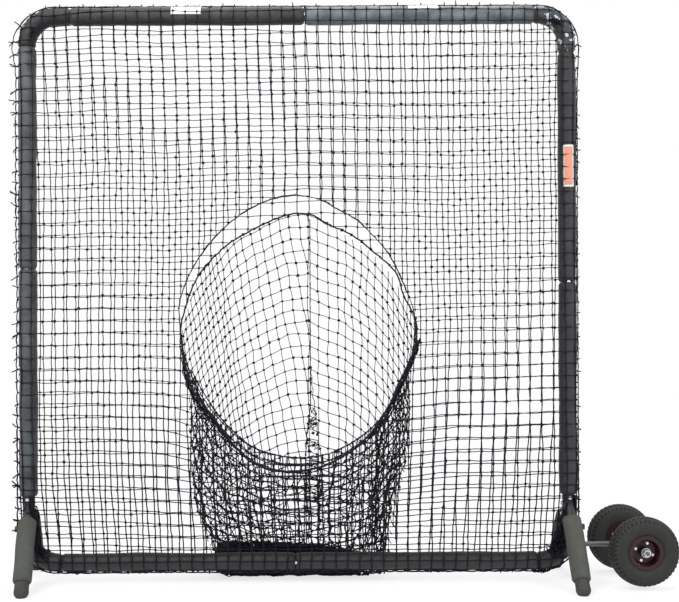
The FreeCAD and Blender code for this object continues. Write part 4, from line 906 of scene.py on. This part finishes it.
def cut_paths(x, z, keep, place, seed, sizes=(TWINE, UPRIGHT_TWINE)):
    """Strands through knots given by row and column, cut where keep turns negative.

    Gives their paths, the radius of each, and the knots' places.
    """
    rng = np.random.default_rng(seed)
    paths = []
    radii = []
    for flat_x, flat_z, size in ([(*line, sizes[0]) for line in zip(x, z)]
                                 + [(*line, sizes[1]) for line in zip(x.T, z.T)]):
        share = np.arange(0, len(flat_x) - 0.5, 0.5)
        whole = share.astype(int)
        part = share - whole
        after = np.minimum(whole + 1, len(flat_x) - 1)
        fx = flat_x[whole] * (1 - part) + flat_x[after] * part
        fz = flat_z[whole] * (1 - part) + flat_z[after] * part
        loose = np.where(part > 0, STRAND_WANDER, 0)
        fx = fx + loose * rng.uniform(-1, 1, len(fx))
        fz = fz + loose * rng.uniform(-1, 1, len(fz))
        room = keep(fx, fz)
        run_x, run_z = [], []
        for number in range(len(fx)):
            if room[number] >= 0:
                if not run_x and number and room[number - 1] < 0:
                    t = room[number] / (room[number] - room[number - 1])
                    run_x.append(fx[number] + (fx[number - 1] - fx[number]) * t)
                    run_z.append(fz[number] + (fz[number - 1] - fz[number]) * t)
                run_x.append(fx[number])
                run_z.append(fz[number])
                if number + 1 < len(fx) and room[number + 1] < 0:
                    t = room[number] / (room[number] - room[number + 1])
                    run_x.append(fx[number] + (fx[number + 1] - fx[number]) * t)
                    run_z.append(fz[number] + (fz[number + 1] - fz[number]) * t)
            elif run_x:
                paths.append(place(np.array(run_x), np.array(run_z)))
                run_x, run_z = [], []
        if run_x:
            paths.append(place(np.array(run_x), np.array(run_z)))
        radii += [size] * (len(paths) - len(radii))
    room = keep(x, z)
    return paths, radii, place(x[room > 0], z[room > 0])


def net_face(name, face, loop, node, seed):
    """One face of the pillowcase, from its selvedge to its ring."""
    x, z = net_grid(face, seed)

    def keep(flat_x, flat_z):
        return np.minimum(-inside_loop(loop, flat_x, flat_z), WRAP - past_tube(flat_x, flat_z)[0])

    def place(flat_x, flat_z):
        laid = over_frame(flat_x, flat_z, face)
        slack = np.clip(-past_tube(flat_x, flat_z)[0] / BEND - 0.3, 0, 1)
        laid[..., 1] += face * slack * 0.004 * slow_noise(flat_x, flat_z, seed + 5)
        return laid

    paths, radii, places = cut_paths(x, z, keep, place, seed + 3)
    made = piece(name, *joined(strands(paths, radii), knots(places, KNOT, seed + 4)), twine, "net")
    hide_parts(node)
    return made


net_face("twine_front", -1, front_loop, "net_front", 101)
net_face("twine_back", 1, back_loop, "net_back", 201)

# The selvedge is where the two faces meet outside the padding. A doubled cord runs through the last
# meshes, knotted at each strand, and the cut ends of the twine stand out as short whiskers.
CORD = 0.0020
EDGE_STEP = MESH / 4
EDGE_LIFT = 0.0035
EDGE_BOW = 0.0035
EDGE_SLOW = 0.003
EDGE_CLEAR = 0.0006
EDGE_KNOT = 0.0042
LEFT_CORNER_SAG = 0.020
RIGHT_CORNER_SAG = 0.008
WHISKER = 0.008, 0.022


def edge_line():
    """Points round the frame on the tube's own line, and the way out at each."""
    marks = []
    for way_x, way_z, first in ((1, 1, 90.0), (1, -1, 0.0), (-1, -1, -90.0), (-1, 1, 180.0)):
        corner_x = way_x * (HALF - BEND)
        corner_z = (TOP if way_z > 0 else BOTTOM) - way_z * BEND
        for turn in np.radians(np.linspace(first, first - 90.0, 9)):
            marks.append((corner_x + BEND * math.cos(turn), corner_z + BEND * math.sin(turn),
                          math.cos(turn), math.sin(turn)))
    marks = np.array(marks + marks[:1])
    far = np.concatenate([[0], np.cumsum(np.hypot(*np.diff(marks[:, :2], axis=0).T))])
    count = round(far[-1] / EDGE_STEP / 4) * 4
    place = np.arange(count + 1) * far[-1] / count
    line = np.stack([np.interp(place, far, marks[:, k]) for k in range(4)], axis=1)
    line[:, 2:] /= np.hypot(line[:, 2], line[:, 3])[:, None]
    return line


def selvedge():
    """The doubled cord round the frame, its ties, knots and whiskers."""
    line = edge_line()
    count = len(line)
    rng = np.random.default_rng(301)
    number = np.arange(count)
    slow = 0.5 + 0.5 * slow_noise(line[:, 0] * 0.7, line[:, 1] * 0.7, 302)
    corner = np.exp(-(np.hypot(line[:, 0] + 1.07, line[:, 1] - 2.045) / 0.066) ** 2)
    right = np.exp(-(np.hypot(line[:, 0] - 1.06, line[:, 1] - 2.02) / 0.10) ** 2)
    bow = np.abs(np.sin(np.pi * number / 4))
    slack = np.clip(-line[:, 2], 0, 1) + 0.30 * np.clip(line[:, 2], 0, 1) + 0.45 * np.clip(-line[:, 3], 0, 1)
    off = (NET_OFF + EDGE_CLEAR + slack * (EDGE_LIFT + EDGE_SLOW * slow + EDGE_BOW * bow)
           + LEFT_CORNER_SAG * corner + RIGHT_CORNER_SAG * right)
    off[-1] = off[0]
    paths = []
    places = []
    for cord, (lift, side) in enumerate(((0.0, -0.0045), (0.0022, 0.004))):
        wave = 0.0012 * rng.uniform(-1, 1, count)
        wave[-1] = wave[0]
        own = off + lift + wave
        deep = side + 0.002 * slow_noise(line[:, 1], line[:, 0], 310 + cord)
        path = np.stack([MIDDLE + line[:, 0] + line[:, 2] * own, PLANE + deep,
                         line[:, 1] + line[:, 3] * own], axis=1)
        paths.append(path)
    outer = (paths[0] + paths[1]) / 2
    for here in range(0, count - 1, 4):
        x, z, way_x, way_z = line[here]
        root = np.array([MIDDLE + x + way_x * NET_OFF, PLANE, z + way_z * NET_OFF])
        places.append(outer[here])
        for lean in (-1, 1):
            tie = root + np.array([0, lean * 0.012, 0]) - 0.002 * np.array([way_x, 0, way_z])
            half_way = (tie + outer[here]) / 2 + 0.001 * rng.uniform(-1, 1, 3)
            paths.append(np.array([tie, half_way, outer[here]]))
        for whisker in range(int(rng.uniform(0.6, 3.4 if x < -1 else 1.8))):
            long = rng.uniform(*WHISKER) * (1 if x < -1 else 0.5)
            way = np.array([way_x, rng.uniform(-0.5, 0.5), way_z + rng.uniform(-0.9, 0.6)])
            bend = way + 0.5 * rng.uniform(-1, 1, 3)
            tip = outer[here] + long * 0.55 * way
            end = tip + long * 0.55 * bend
            end[2] = max(end[2], 0.05)
            paths.append(np.array([outer[here], tip, end]))
    return paths, np.array(places)


edge_paths, edge_places = selvedge()
edge = piece(
    "selvedge", *joined(strands(edge_paths, CORD, 1.2), knots(edge_places, EDGE_KNOT, 303)), twine, "rope")
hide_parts("net_edge_strands", "net_edge_cords")


# Where the pillowcase is wider than the frame, its spare netting is bunched at the corners: beside the
# foot of each post, at the top right, and in loops under the bottom rail.
def tangle(line, spread, count, seed, turns=2.5):
    """Loose strands that wander about a line, within a spread given at each of its points."""
    rng = np.random.default_rng(seed)
    line = np.array(line, float)
    line[:, 0] += MIDDLE
    line[:, 1] += PLANE
    spread = np.array(spread, float)
    steps = 8 * (len(line) - 1) + 1
    share = np.linspace(0, len(line) - 1, steps)
    marks = np.arange(len(line))
    middle = np.stack([np.interp(share, marks, line[:, k]) for k in range(3)], axis=1)
    wide = np.interp(share, marks, spread)
    paths = []
    for strand in range(count):
        phase = rng.uniform(0, 2 * math.pi, 3)
        speed = rng.uniform(0.5, 1.5, 3) * turns
        far = rng.uniform(0.3, 1.0, 3)
        place = share[:, None] / share[-1]
        off = np.sin(2 * math.pi * speed * place + phase) * far * wide[:, None]
        off += 0.12 * wide[:, None] * rng.uniform(-1, 1, (steps, 3))
        first = rng.integers(0, max(1, steps // 3))
        last = steps - rng.integers(0, max(1, steps // 3))
        paths.append((middle + off)[first:last])
    return paths


gathers = tangle(
    [(-1.010, -0.034, 0.335), (-1.008, -0.038, 0.290), (-0.992, -0.036, 0.262), (-0.987, -0.034, 0.205),
     (-0.985, -0.034, 0.150), (-0.972, -0.036, 0.118), (-0.950, -0.037, 0.108)],
    [0.008, 0.020, 0.013, 0.011, 0.013, 0.019, 0.020], 34, 321)
gathers += tangle(
    [(1.004, -0.036, 0.285), (0.997, -0.036, 0.230), (0.986, -0.034, 0.180), (0.976, -0.034, 0.130),
     (0.962, -0.036, 0.112)],
    [0.006, 0.012, 0.020, 0.030, 0.030], 30, 322)
gathers += tangle([(1.010, -0.030, 2.108), (0.985, -0.034, 2.118), (0.962, -0.034, 2.135)],
                  [0.010, 0.016, 0.010], 10, 323)
gathers += tangle([(-0.994, -0.034, 2.105), (-1.004, -0.034, 2.075)], [0.010, 0.010], 5, 324)
for seed, (low_x, high_x, thick) in enumerate((
        (-0.880, -0.815, 0.007), (-0.640, -0.560, 0.004), (0.500, 0.560, 0.004), (0.880, 0.955, 0.009))):
    gathers += tangle([(low_x, -0.004, 0.043), ((low_x + high_x) / 2, 0.0, 0.039), (high_x, -0.004, 0.043)],
                      [thick, thick * 1.4, thick], 7, 325 + seed)
bunched = piece("bunched_netting", *strands(gathers, 0.0014, 1.2), twine, "net")
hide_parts("net_edge_strands")


# Both target rings are laid rope of three strands, black, sewn to the net's cut edge with a turn of twine
# at each knot, so the rope is drawn a little out of line there.
def rope(name, loop, depth, radii, node, seed, sewn):
    """A closed rope of three strands along a loop that stands parallel to the screen."""
    rng = np.random.default_rng(seed)
    count = len(loop)
    around = np.arange(count)
    middle = loop.mean(axis=0)
    out_way = loop - middle
    out_way /= np.hypot(out_way[:, 0], out_way[:, 1])[:, None]
    far = np.concatenate([[0], np.cumsum(np.hypot(*np.diff(loop, axis=0).T))])
    meshes = round(far[-1] / MESH)
    place = far / far[-1] * meshes
    pull = 0.0016 * np.abs(np.sin(np.pi * place)) + 0.0008 * rng.uniform(-1, 1, count)
    bent = loop - out_way * pull[:, None]
    centre = np.stack([MIDDLE + bent[:, 0], np.full(count, PLANE + depth), bent[:, 1]], axis=1)
    steps = count * 2
    share = np.arange(steps) * count / steps
    whole = share.astype(int)
    part = (share - whole)[:, None]
    line = centre[whole] * (1 - part) + centre[(whole + 1) % count] * part
    own = np.interp(share, around, radii, period=count)[:, None]
    ahead = np.roll(line, -1, axis=0) - np.roll(line, 1, axis=0)
    length = np.linalg.norm(np.diff(line, axis=0), axis=1).sum()
    ahead /= np.linalg.norm(ahead, axis=1)[:, None]
    back = np.array([0, 1.0, 0])
    out = np.cross(ahead, back)
    turns = round(length / (np.mean(radii) * 7))
    points = []
    faces = []
    sides = 7
    ring = np.arange(sides) * 2 * math.pi / sides
    for strand in range(3):
        angle = 2 * math.pi * (turns * np.arange(steps) / steps + strand / 3)
        core = line + own * 0.5 * (np.cos(angle)[:, None] * out + np.sin(angle)[:, None] * back)
        tube = core[:, None, :] + 0.55 * own[:, :, None] * (
            np.cos(ring)[None, :, None] * out[:, None, :] + np.sin(ring)[None, :, None] * back)
        faces += [(a, d, c, b) for a, b, c, d in ring_quads(steps, sides, len(points))]
        points.extend(tube.reshape(-1, 3).tolist())
    spots = np.searchsorted(place, np.arange(meshes))
    made = piece(name, *joined((points, faces), knots(centre[spots], sewn, seed + 1)), twine, "rope")
    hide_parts(node)
    return made


FRONT_RING_RADII = ((0.42, 0.0052), (0.50, 0.0048), (0.62, 0.0042), (0.78, 0.0042), (0.95, 0.0032))
FRONT_RING_OFF = 0.004
FRONT_RING_KNOT = 0.0064
BACK_RING_OFF = 0.005
BACK_RING_KNOT = 0.0046
front_size = np.interp(front_loop[:, 1], *zip(*FRONT_RING_RADII))
rope("ring_front", front_loop, -(NET_OFF + FRONT_RING_OFF), front_size, "target_ring_front", 5,
     FRONT_RING_KNOT)
dashes = np.clip(0.5 + 0.5 * slow_noise(back_loop[:, 0] * 3, back_loop[:, 1] * 3, 7), 0, 1)
back_low = np.clip((0.85 - back_loop[:, 1]) / 0.2, 0, 1)
rope("ring_back", back_loop, NET_OFF + BACK_RING_OFF, 0.0018 + (0.0020 - 0.0014 * back_low) * dashes,
     "target_ring_back", 6, BACK_RING_KNOT)

# The sock is a bag of the same netting, sewn to the front ring. Its lower half passes over the back ring's
# foot and hangs behind the net, and its back hangs down from the ring's arch, folded along the middle.
SOCK_MESH = 0.0452
SOCK_SEAM = 0.0400
SOCK_LEAN = 0.17
SOCK_TOP = 1.396
SOCK_FIRST = 0.94
BAG_TWINE = (0.00130, 0.00130)
LEFT_STEPS = (0.0385,) * 7 + (0.030,) * 3 + (0.018,) * 14
RIGHT_STEPS = (0.0375,) * 3 + (0.0285,) * 6 + (0.0200,) * 4 + (0.0140,) * 5
LEFT_DROP = ((0, 0), (0.076, 0.004), (0.141, 0.033), (0.214, 0.068), (0.286, 0.113), (0.339, 0.177),
             (0.45, 0.325), (0.60, 0.540))
RIGHT_DROP = ((0, 0), (0.057, 0.026), (0.133, 0.051), (0.210, 0.104), (0.267, 0.158), (0.305, 0.204),
              (0.375, 0.330), (0.45, 0.520))
SOCK_BACK = ((-0.05, -0.036), (0.0, -0.036), (0.035, 0.030), (0.15, 0.074), (0.32, 0.104), (0.59, 0.158),
             (0.86, 0.230), (1.10, 0.314), (1.25, 0.370), (1.45, 0.425))
SOCK_OUTLINE = (
    (0.040, 1.403), (0.174, 1.325), (0.265, 1.262), (0.330, 1.200), (0.385, 1.120), (0.445, 0.995),
    (0.452, 0.925), (0.436, 0.880), (0.430, 0.750), (0.425, 0.600), (0.410, 0.450), (0.386, 0.345),
    (0.374, 0.268), (0.358, 0.192), (0.348, 0.110), (0.330, 0.070), (-0.290, 0.070), (-0.330, 0.120),
    (-0.360, 0.187), (-0.377, 0.230), (-0.409, 0.291), (-0.413, 0.420), (-0.415, 0.600), (-0.418, 0.760),
    (-0.428, 0.860), (-0.442, 0.920), (-0.438, 0.980), (-0.410, 1.070), (-0.370, 1.180), (-0.270, 1.282),
    (-0.180, 1.340), (-0.090, 1.380),
)
sock_loop = loop_curve(SOCK_OUTLINE, 256)


def seen_at(x, z, depth):
    """Where a thing lies that is depth behind the screen and seems to be at x and z in its plane."""
    grow = 1 + depth / CAMERA_DISTANCE
    return np.stack([MIDDLE + CAMERA_RIGHT + (x - CAMERA_RIGHT) * grow, PLANE + depth + 0 * x,
                     CAMERA_HEIGHT + (z - CAMERA_HEIGHT) * grow], axis=-1)


def table(pairs, value):
    """A value read from pairs, evenly between them."""
    return np.interp(value, [pair[0] for pair in pairs], [pair[1] for pair in pairs])


def sock_depth(x, z):
    """How far behind the screen the back of the bag hangs."""
    away = np.abs(x - SOCK_SEAM)
    arch = SOCK_TOP - np.where(x > SOCK_SEAM, table(RIGHT_DROP, away), table(LEFT_DROP, away))
    return table(SOCK_BACK, arch - z)


def sock_back():
    """The back of the bag: rows parallel to the ring's arch, and columns that lean into the seam."""
    rng = np.random.default_rng(401)
    paths = []
    radii = []
    places = []
    for steps, lean, drop, way in ((LEFT_STEPS, SOCK_LEAN, LEFT_DROP, -1), (RIGHT_STEPS, 0.0, RIGHT_DROP, 1)):
        place, row = np.meshgrid(np.cumsum((0,) + steps), np.arange(-2, 33), indexing="ij")
        x = SOCK_SEAM + way * place
        for again in range(4):
            z = SOCK_TOP - SOCK_MESH * (row + SOCK_FIRST) - table(drop, np.abs(x - SOCK_SEAM))
            x = SOCK_SEAM + way * place + lean * np.maximum(SOCK_TOP - z, 0)
        x = x + 0.0030 * slow_noise(x * 2, z * 2, 410) + 0.0028 * rng.uniform(-1, 1, x.shape)
        z = z + 0.0022 * slow_noise(x * 2, z * 2, 411) + 0.0028 * rng.uniform(-1, 1, x.shape)

        def keep(flat_x, flat_z, way=way):
            room = inside_loop(sock_loop, flat_x, flat_z)
            return np.minimum(room, way * (flat_x - SOCK_SEAM) + (0.012 if way > 0 else 0.001))

        def place_back(flat_x, flat_z):
            laid = seen_at(flat_x, flat_z, sock_depth(flat_x, flat_z))
            laid[..., 2] = np.maximum(laid[..., 2], 0.010)
            return laid

        more_paths, more_radii, more_places = cut_paths(x, z, keep, place_back, 420 + way, BAG_TWINE)
        paths += more_paths
        radii += more_radii
        places.append(more_places)
    return paths, radii, np.concatenate(places)


# The bag's two halves are laced together down the middle of the back. Below the ring's middle the lacing
# parts into two lines with knots and crumpled meshes between them.
SEAM_LEFT = ((0.047, 1.380), (0.047, 0.677), (0.033, 0.566), (0.027, 0.486), (0.022, 0.300), (0.020, 0.110))
SEAM_RIGHT = ((0.049, 0.820), (0.056, 0.711), (0.066, 0.643), (0.076, 0.532), (0.086, 0.486), (0.095, 0.300),
              (0.100, 0.110))
SEAM_KNOTS = (
    (0.047, 0.818), (0.047, 0.774), (0.047, 0.768), (0.047, 0.722), (0.045, 0.673), (0.067, 0.640),
    (0.040, 0.631), (0.036, 0.602), (0.069, 0.602), (0.033, 0.567), (0.072, 0.560), (0.056, 0.566),
    (0.030, 0.527), (0.082, 0.506), (0.058, 0.520), (0.046, 0.495), (0.070, 0.485),
)


def lacing(marks, count, size, seed):
    """Strands that wind loosely about a line down the back of the bag."""
    rng = np.random.default_rng(seed)
    z = np.arange(marks[0][1], marks[-1][1], -0.013)
    x = np.interp(-z, [-mark[1] for mark in marks], [mark[0] for mark in marks])
    paths = []
    for strand in range(count):
        off = size * np.sin(z * 140 + 2.1 * strand) + 0.5 * size * rng.uniform(-1, 1, len(z))
        paths.append(seen_at(x + off, z, sock_depth(x, z) - 0.004))
    return paths


def crumple(count, seed):
    """Short bent strands between the two lines of the lacing."""
    rng = np.random.default_rng(seed)
    paths = []
    for strand in range(count):
        z = 0.665 - 0.40 * rng.uniform() ** 1.3 + np.array([0, -0.008, -0.018])
        left = table([(-mark[1], mark[0]) for mark in SEAM_LEFT], -z)
        right = table([(-mark[1], mark[0]) for mark in SEAM_RIGHT], -z)
        x = left + (right - left) * rng.uniform(-0.1, 1.1, 3)
        paths.append(seen_at(x, z, sock_depth(x, z) - 0.004))
    return paths


back_paths, back_radii, back_places = sock_back()
laces = lacing(SEAM_LEFT, 2, 0.0012, 431) + lacing(SEAM_RIGHT, 1, 0.0020, 432) + crumple(46, 434)
blob_places = np.array([seen_at(np.array(x), np.array(z), sock_depth(x, z) - 0.004) for x, z in SEAM_KNOTS])
bag = piece(
    "sock_back",
    *joined(strands(back_paths + laces, back_radii + [TWINE] * len(laces)), knots(back_places, 0.0062, 430),
            knots(blob_places, 0.0070, 433)),
    twine, "net")
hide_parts("sock")

# Under the rings the bag's spare width hangs in loose pleats, one layer in front and one behind, drawn
# together into a few dark folds.
EDGE_LEFT = ((0.05, -0.290), (0.120, -0.330), (0.187, -0.360), (0.230, -0.377), (0.291, -0.409),
             (0.420, -0.413), (0.760, -0.416), (0.95, -0.44))
EDGE_RIGHT = ((0.05, 0.335), (0.110, 0.348), (0.192, 0.358), (0.268, 0.374), (0.345, 0.386), (0.450, 0.410),
              (0.600, 0.425), (0.750, 0.430), (0.95, 0.45))
FOLDS = ((-0.408, 2.4, 0.010), (-0.275, 1.6, 0.010), (-0.14, 0.5, 0.02), (0.06, 0.4, 0.02),
         (0.20, 0.6, 0.014), (0.305, 4.5, 0.018), (0.385, 5.5, 0.014))
FOLD_ROW = 0.026
FOLD_TWINE = 0.00162
FOLD_KNOT = 0.0064
FLOOR_TWINE = 0.006


def pleats(columns, top, low, depth, seed, shift):
    """A layer of netting that hangs from the back ring's foot, drawn together into folds."""
    rng = np.random.default_rng(seed)
    across = np.linspace(-0.43, 0.43, 400)
    dense = np.ones_like(across)
    for place, weight, wide in FOLDS:
        dense += weight * np.exp(-((across - place - shift) / wide) ** 2)
    total = np.cumsum(dense)
    spread = np.interp((np.arange(columns) + 0.5) / columns * total[-1], total, across)
    share = (spread + 0.43) / 0.86
    rows = int((top - low) / FOLD_ROW) + 1
    row = np.arange(rows)[None, :]
    head = table([(x, z) for x, z in sorted(map(tuple, lower_arc.tolist()))], spread)[:, None]
    z = head - (head - low) * row / (rows - 1)
    wide_left = table(EDGE_LEFT, z)
    wide_right = table(EDGE_RIGHT, z)
    x = wide_left + (wide_right - wide_left) * share[:, None]
    gather = np.clip((head - z) / 0.10, 0, 1)
    lean = 0.012 * slow_noise(share[:, None] * 2 + 0 * z, z * 0.6, seed + 1)
    zigzag = np.where((row + np.arange(columns)[:, None]) % 2, 0.0045, -0.0045)
    x = x + gather * (lean + zigzag + 0.0060 * rng.uniform(-1, 1, x.shape))
    z = z + gather * (0.009 * slow_noise(x * 5, z * 3, seed + 2) + 0.0055 * rng.uniform(-1, 1, x.shape))
    x = np.clip(x, table(EDGE_LEFT, z) + 0.002, table(EDGE_RIGHT, z) - 0.002)
    wave = np.cos(2 * math.pi * 11 * share)[:, None] + 0.6 * slow_noise(x * 3, z, seed + 3)
    deep = depth + gather * 0.010 * wave
    z = np.maximum(z, FLOOR_TWINE + 0.02)
    grid = seen_at(x, z, deep)
    grid[..., 2] = np.maximum(grid[..., 2], 0.010)
    paths = []
    for line in list(grid) + list(np.swapaxes(grid, 0, 1)):
        part = np.arange(0, len(line) - 0.5, 0.5)
        whole = part.astype(int)
        half = (part - whole)[:, None]
        after = np.minimum(whole + 1, len(line) - 1)
        bent = line[whole] * (1 - half) + line[after] * half
        bent = bent + np.where(half > 0, 0.0035, 0) * rng.uniform(-1, 1, bent.shape)
        bent[:, 2] = np.maximum(bent[:, 2] - 0.003 * (half[:, 0] > 0), FLOOR_TWINE)
        paths.append(bent)
    return paths, grid.reshape(-1, 3)


lower_arc = back_loop[int(RING_POINTS * 8.6 / 28):int(RING_POINTS * 21.2 / 28)]
lower_arc = CAMERA_RIGHT + (lower_arc - (CAMERA_RIGHT, CAMERA_HEIGHT)) / (1 + 0.043 / CAMERA_DISTANCE) + (
    0, CAMERA_HEIGHT - CAMERA_RIGHT)
for layer, (name, columns, depth, shift) in enumerate((
        ("sock_fold_front", 25, 0.058, 0.0), ("sock_fold_back", 21, 0.088, 0.016))):
    fold_paths, fold_places = pleats(columns, 0.47, 0.03, depth, 440 + 10 * layer, shift)
    fold = piece(name, *joined(strands(fold_paths, FOLD_TWINE), knots(fold_places, FOLD_KNOT, 460 + layer)),
                 twine, "net")
    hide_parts("sock")

# The throat is the first row of the bag's meshes, which runs from the front ring's foot back over the
# back ring's. Outside the ring's lower half, slack strands lie beside the rope on both sides.
SLACK_OUT = 0.010
SLACK_LEAST = 0.003
SLACK_MORE = 0.009
throat = []
throat_places = []
for step in range(14, 37):
    u = step / 50
    foot = front_loop[int(u * RING_POINTS) % RING_POINTS]
    turn = math.atan2(foot[1] - 0.93, foot[0])
    turns = np.arctan2(back_loop[:, 1] - 0.96, back_loop[:, 0])
    over = back_loop[np.argmin(np.abs(turns - turn))]
    start = np.array([MIDDLE + foot[0], PLANE - NET_OFF - 0.003, foot[1]])
    end = np.array([MIDDLE + over[0], PLANE + NET_OFF + 0.004, over[1]])
    middle = (start + end) / 2 - (0, 0, 0.006)
    throat.append(np.array([start, middle, end]))
    throat_places.append(middle)
throat.append(np.array(throat_places))
for first, last, seed in ((0.29, 0.42, 472), (0.60, 0.74, 473)):
    arc = front_loop[(np.linspace(first, last, 14) * RING_POINTS).astype(int)]
    way = arc - (0, 0.92)
    way /= np.hypot(way[:, 0], way[:, 1])[:, None]
    arc = arc + SLACK_OUT * way
    ease = SLACK_LEAST + SLACK_MORE * np.sin(np.linspace(0.1, 0.95, 14) * math.pi) ** 0.7
    throat += tangle([(x, 0.0, z) for x, z in arc], ease, 14, seed, 5.0)
neck = piece("sock_throat", *joined(strands(throat, TWINE, 1.9), knots(np.array(throat_places), KNOT, 470)),
             twine, "net")
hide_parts("sock")

# The bag's end lies on the ground behind the bottom rail, piled on itself, so that it looks almost solid.
# It is a wrinkled skin of packed netting with strands and knots on it.
PILE_MIDDLE = (-0.040, 0.163)
PILE_HALF = (0.300, 0.097)
PILE_TOP = ((-0.331, 0.116), (-0.25, 0.114), (-0.19, 0.092), (-0.13, 0.088), (-0.08, 0.104), (-0.02, 0.088),
            (0.02, 0.094), (0.08, 0.080), (0.259, 0.070))
PILE_SKIN = 0.003
PILE_TWINE = 0.0017
PILE_LONG = 60
PILE_ROUND = 40


def pile_grid(shrink, rough, seed):
    """Places on the pile's surface, by section along X and angle round it."""
    along, around = np.meshgrid(
        np.linspace(-1, 1, PILE_LONG), np.arange(PILE_ROUND) / PILE_ROUND, indexing="ij")
    end = (1 - np.abs(along) ** 14 * 0.97) ** 0.5
    x = PILE_MIDDLE[0] + PILE_HALF[0] * along
    tall = table(PILE_TOP, x) / 2
    turn = 2 * math.pi * around
    lump = 1 + 0.10 * slow_noise(x * 4, around * 1.5, 480) * np.abs(np.sin(turn / 2)) + 0.04 * slow_noise(
        x * 14, around * 5, 481)
    rng = np.random.default_rng(seed)
    lump = lump + rough * rng.uniform(-1, 1, x.shape) - shrink
    square = np.where(np.sin(turn) < 0, 0.32, 0.55)
    y = PILE_MIDDLE[1] + PILE_HALF[1] * end * lump * np.sign(np.cos(turn)) * np.abs(np.cos(turn)) ** square
    z = tall * (1 + end * lump * np.sign(np.sin(turn)) * np.abs(np.sin(turn)) ** square)
    z = np.maximum(z, 0.0035 + shrink * 0.06)
    y = np.maximum(y, 0.066 + shrink * 0.06)
    return np.stack([MIDDLE + x, PLANE + y, z], axis=-1)


outer = pile_grid(0.0, 0.02, 482)
inner = pile_grid(PILE_SKIN / 0.07, 0.02, 482)
layers = np.concatenate([outer, inner[::-1]])
skin = (layers.reshape(-1, 3).tolist(), ring_quads(2 * PILE_LONG, PILE_ROUND))
rng = np.random.default_rng(490)
heap = np.maximum(pile_grid(-0.035, 0.05, 491), (-9, -9, 0.0075))
pile_paths = [np.concatenate([line, line[:1]]) for line in heap[2:-2:3]]
pile_paths += [heap[1:-1, here] + 0.002 * rng.uniform(-1, 1, (PILE_LONG - 2, 3)) for here in range(0, 20, 2)]
pile_paths += tangle(
    [(-0.32, 0.13, 0.100), (-0.22, 0.12, 0.112), (-0.10, 0.12, 0.108), (0.02, 0.12, 0.104),
     (0.14, 0.12, 0.092), (0.25, 0.12, 0.080)], [0.016, 0.022, 0.022, 0.022, 0.020, 0.012], 40, 493, 6.0)
pile_paths = [np.maximum(path, (-9, -9, 0.0035)) for path in pile_paths]
pile = piece(
    "sock_pile",
    *joined(skin, strands(pile_paths, PILE_TWINE, 1.0),
            knots(heap[2:-2:3, 0:20:2].reshape(-1, 3), KNOT, 492)),
    twine, "net")
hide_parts("sock")

low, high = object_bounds()
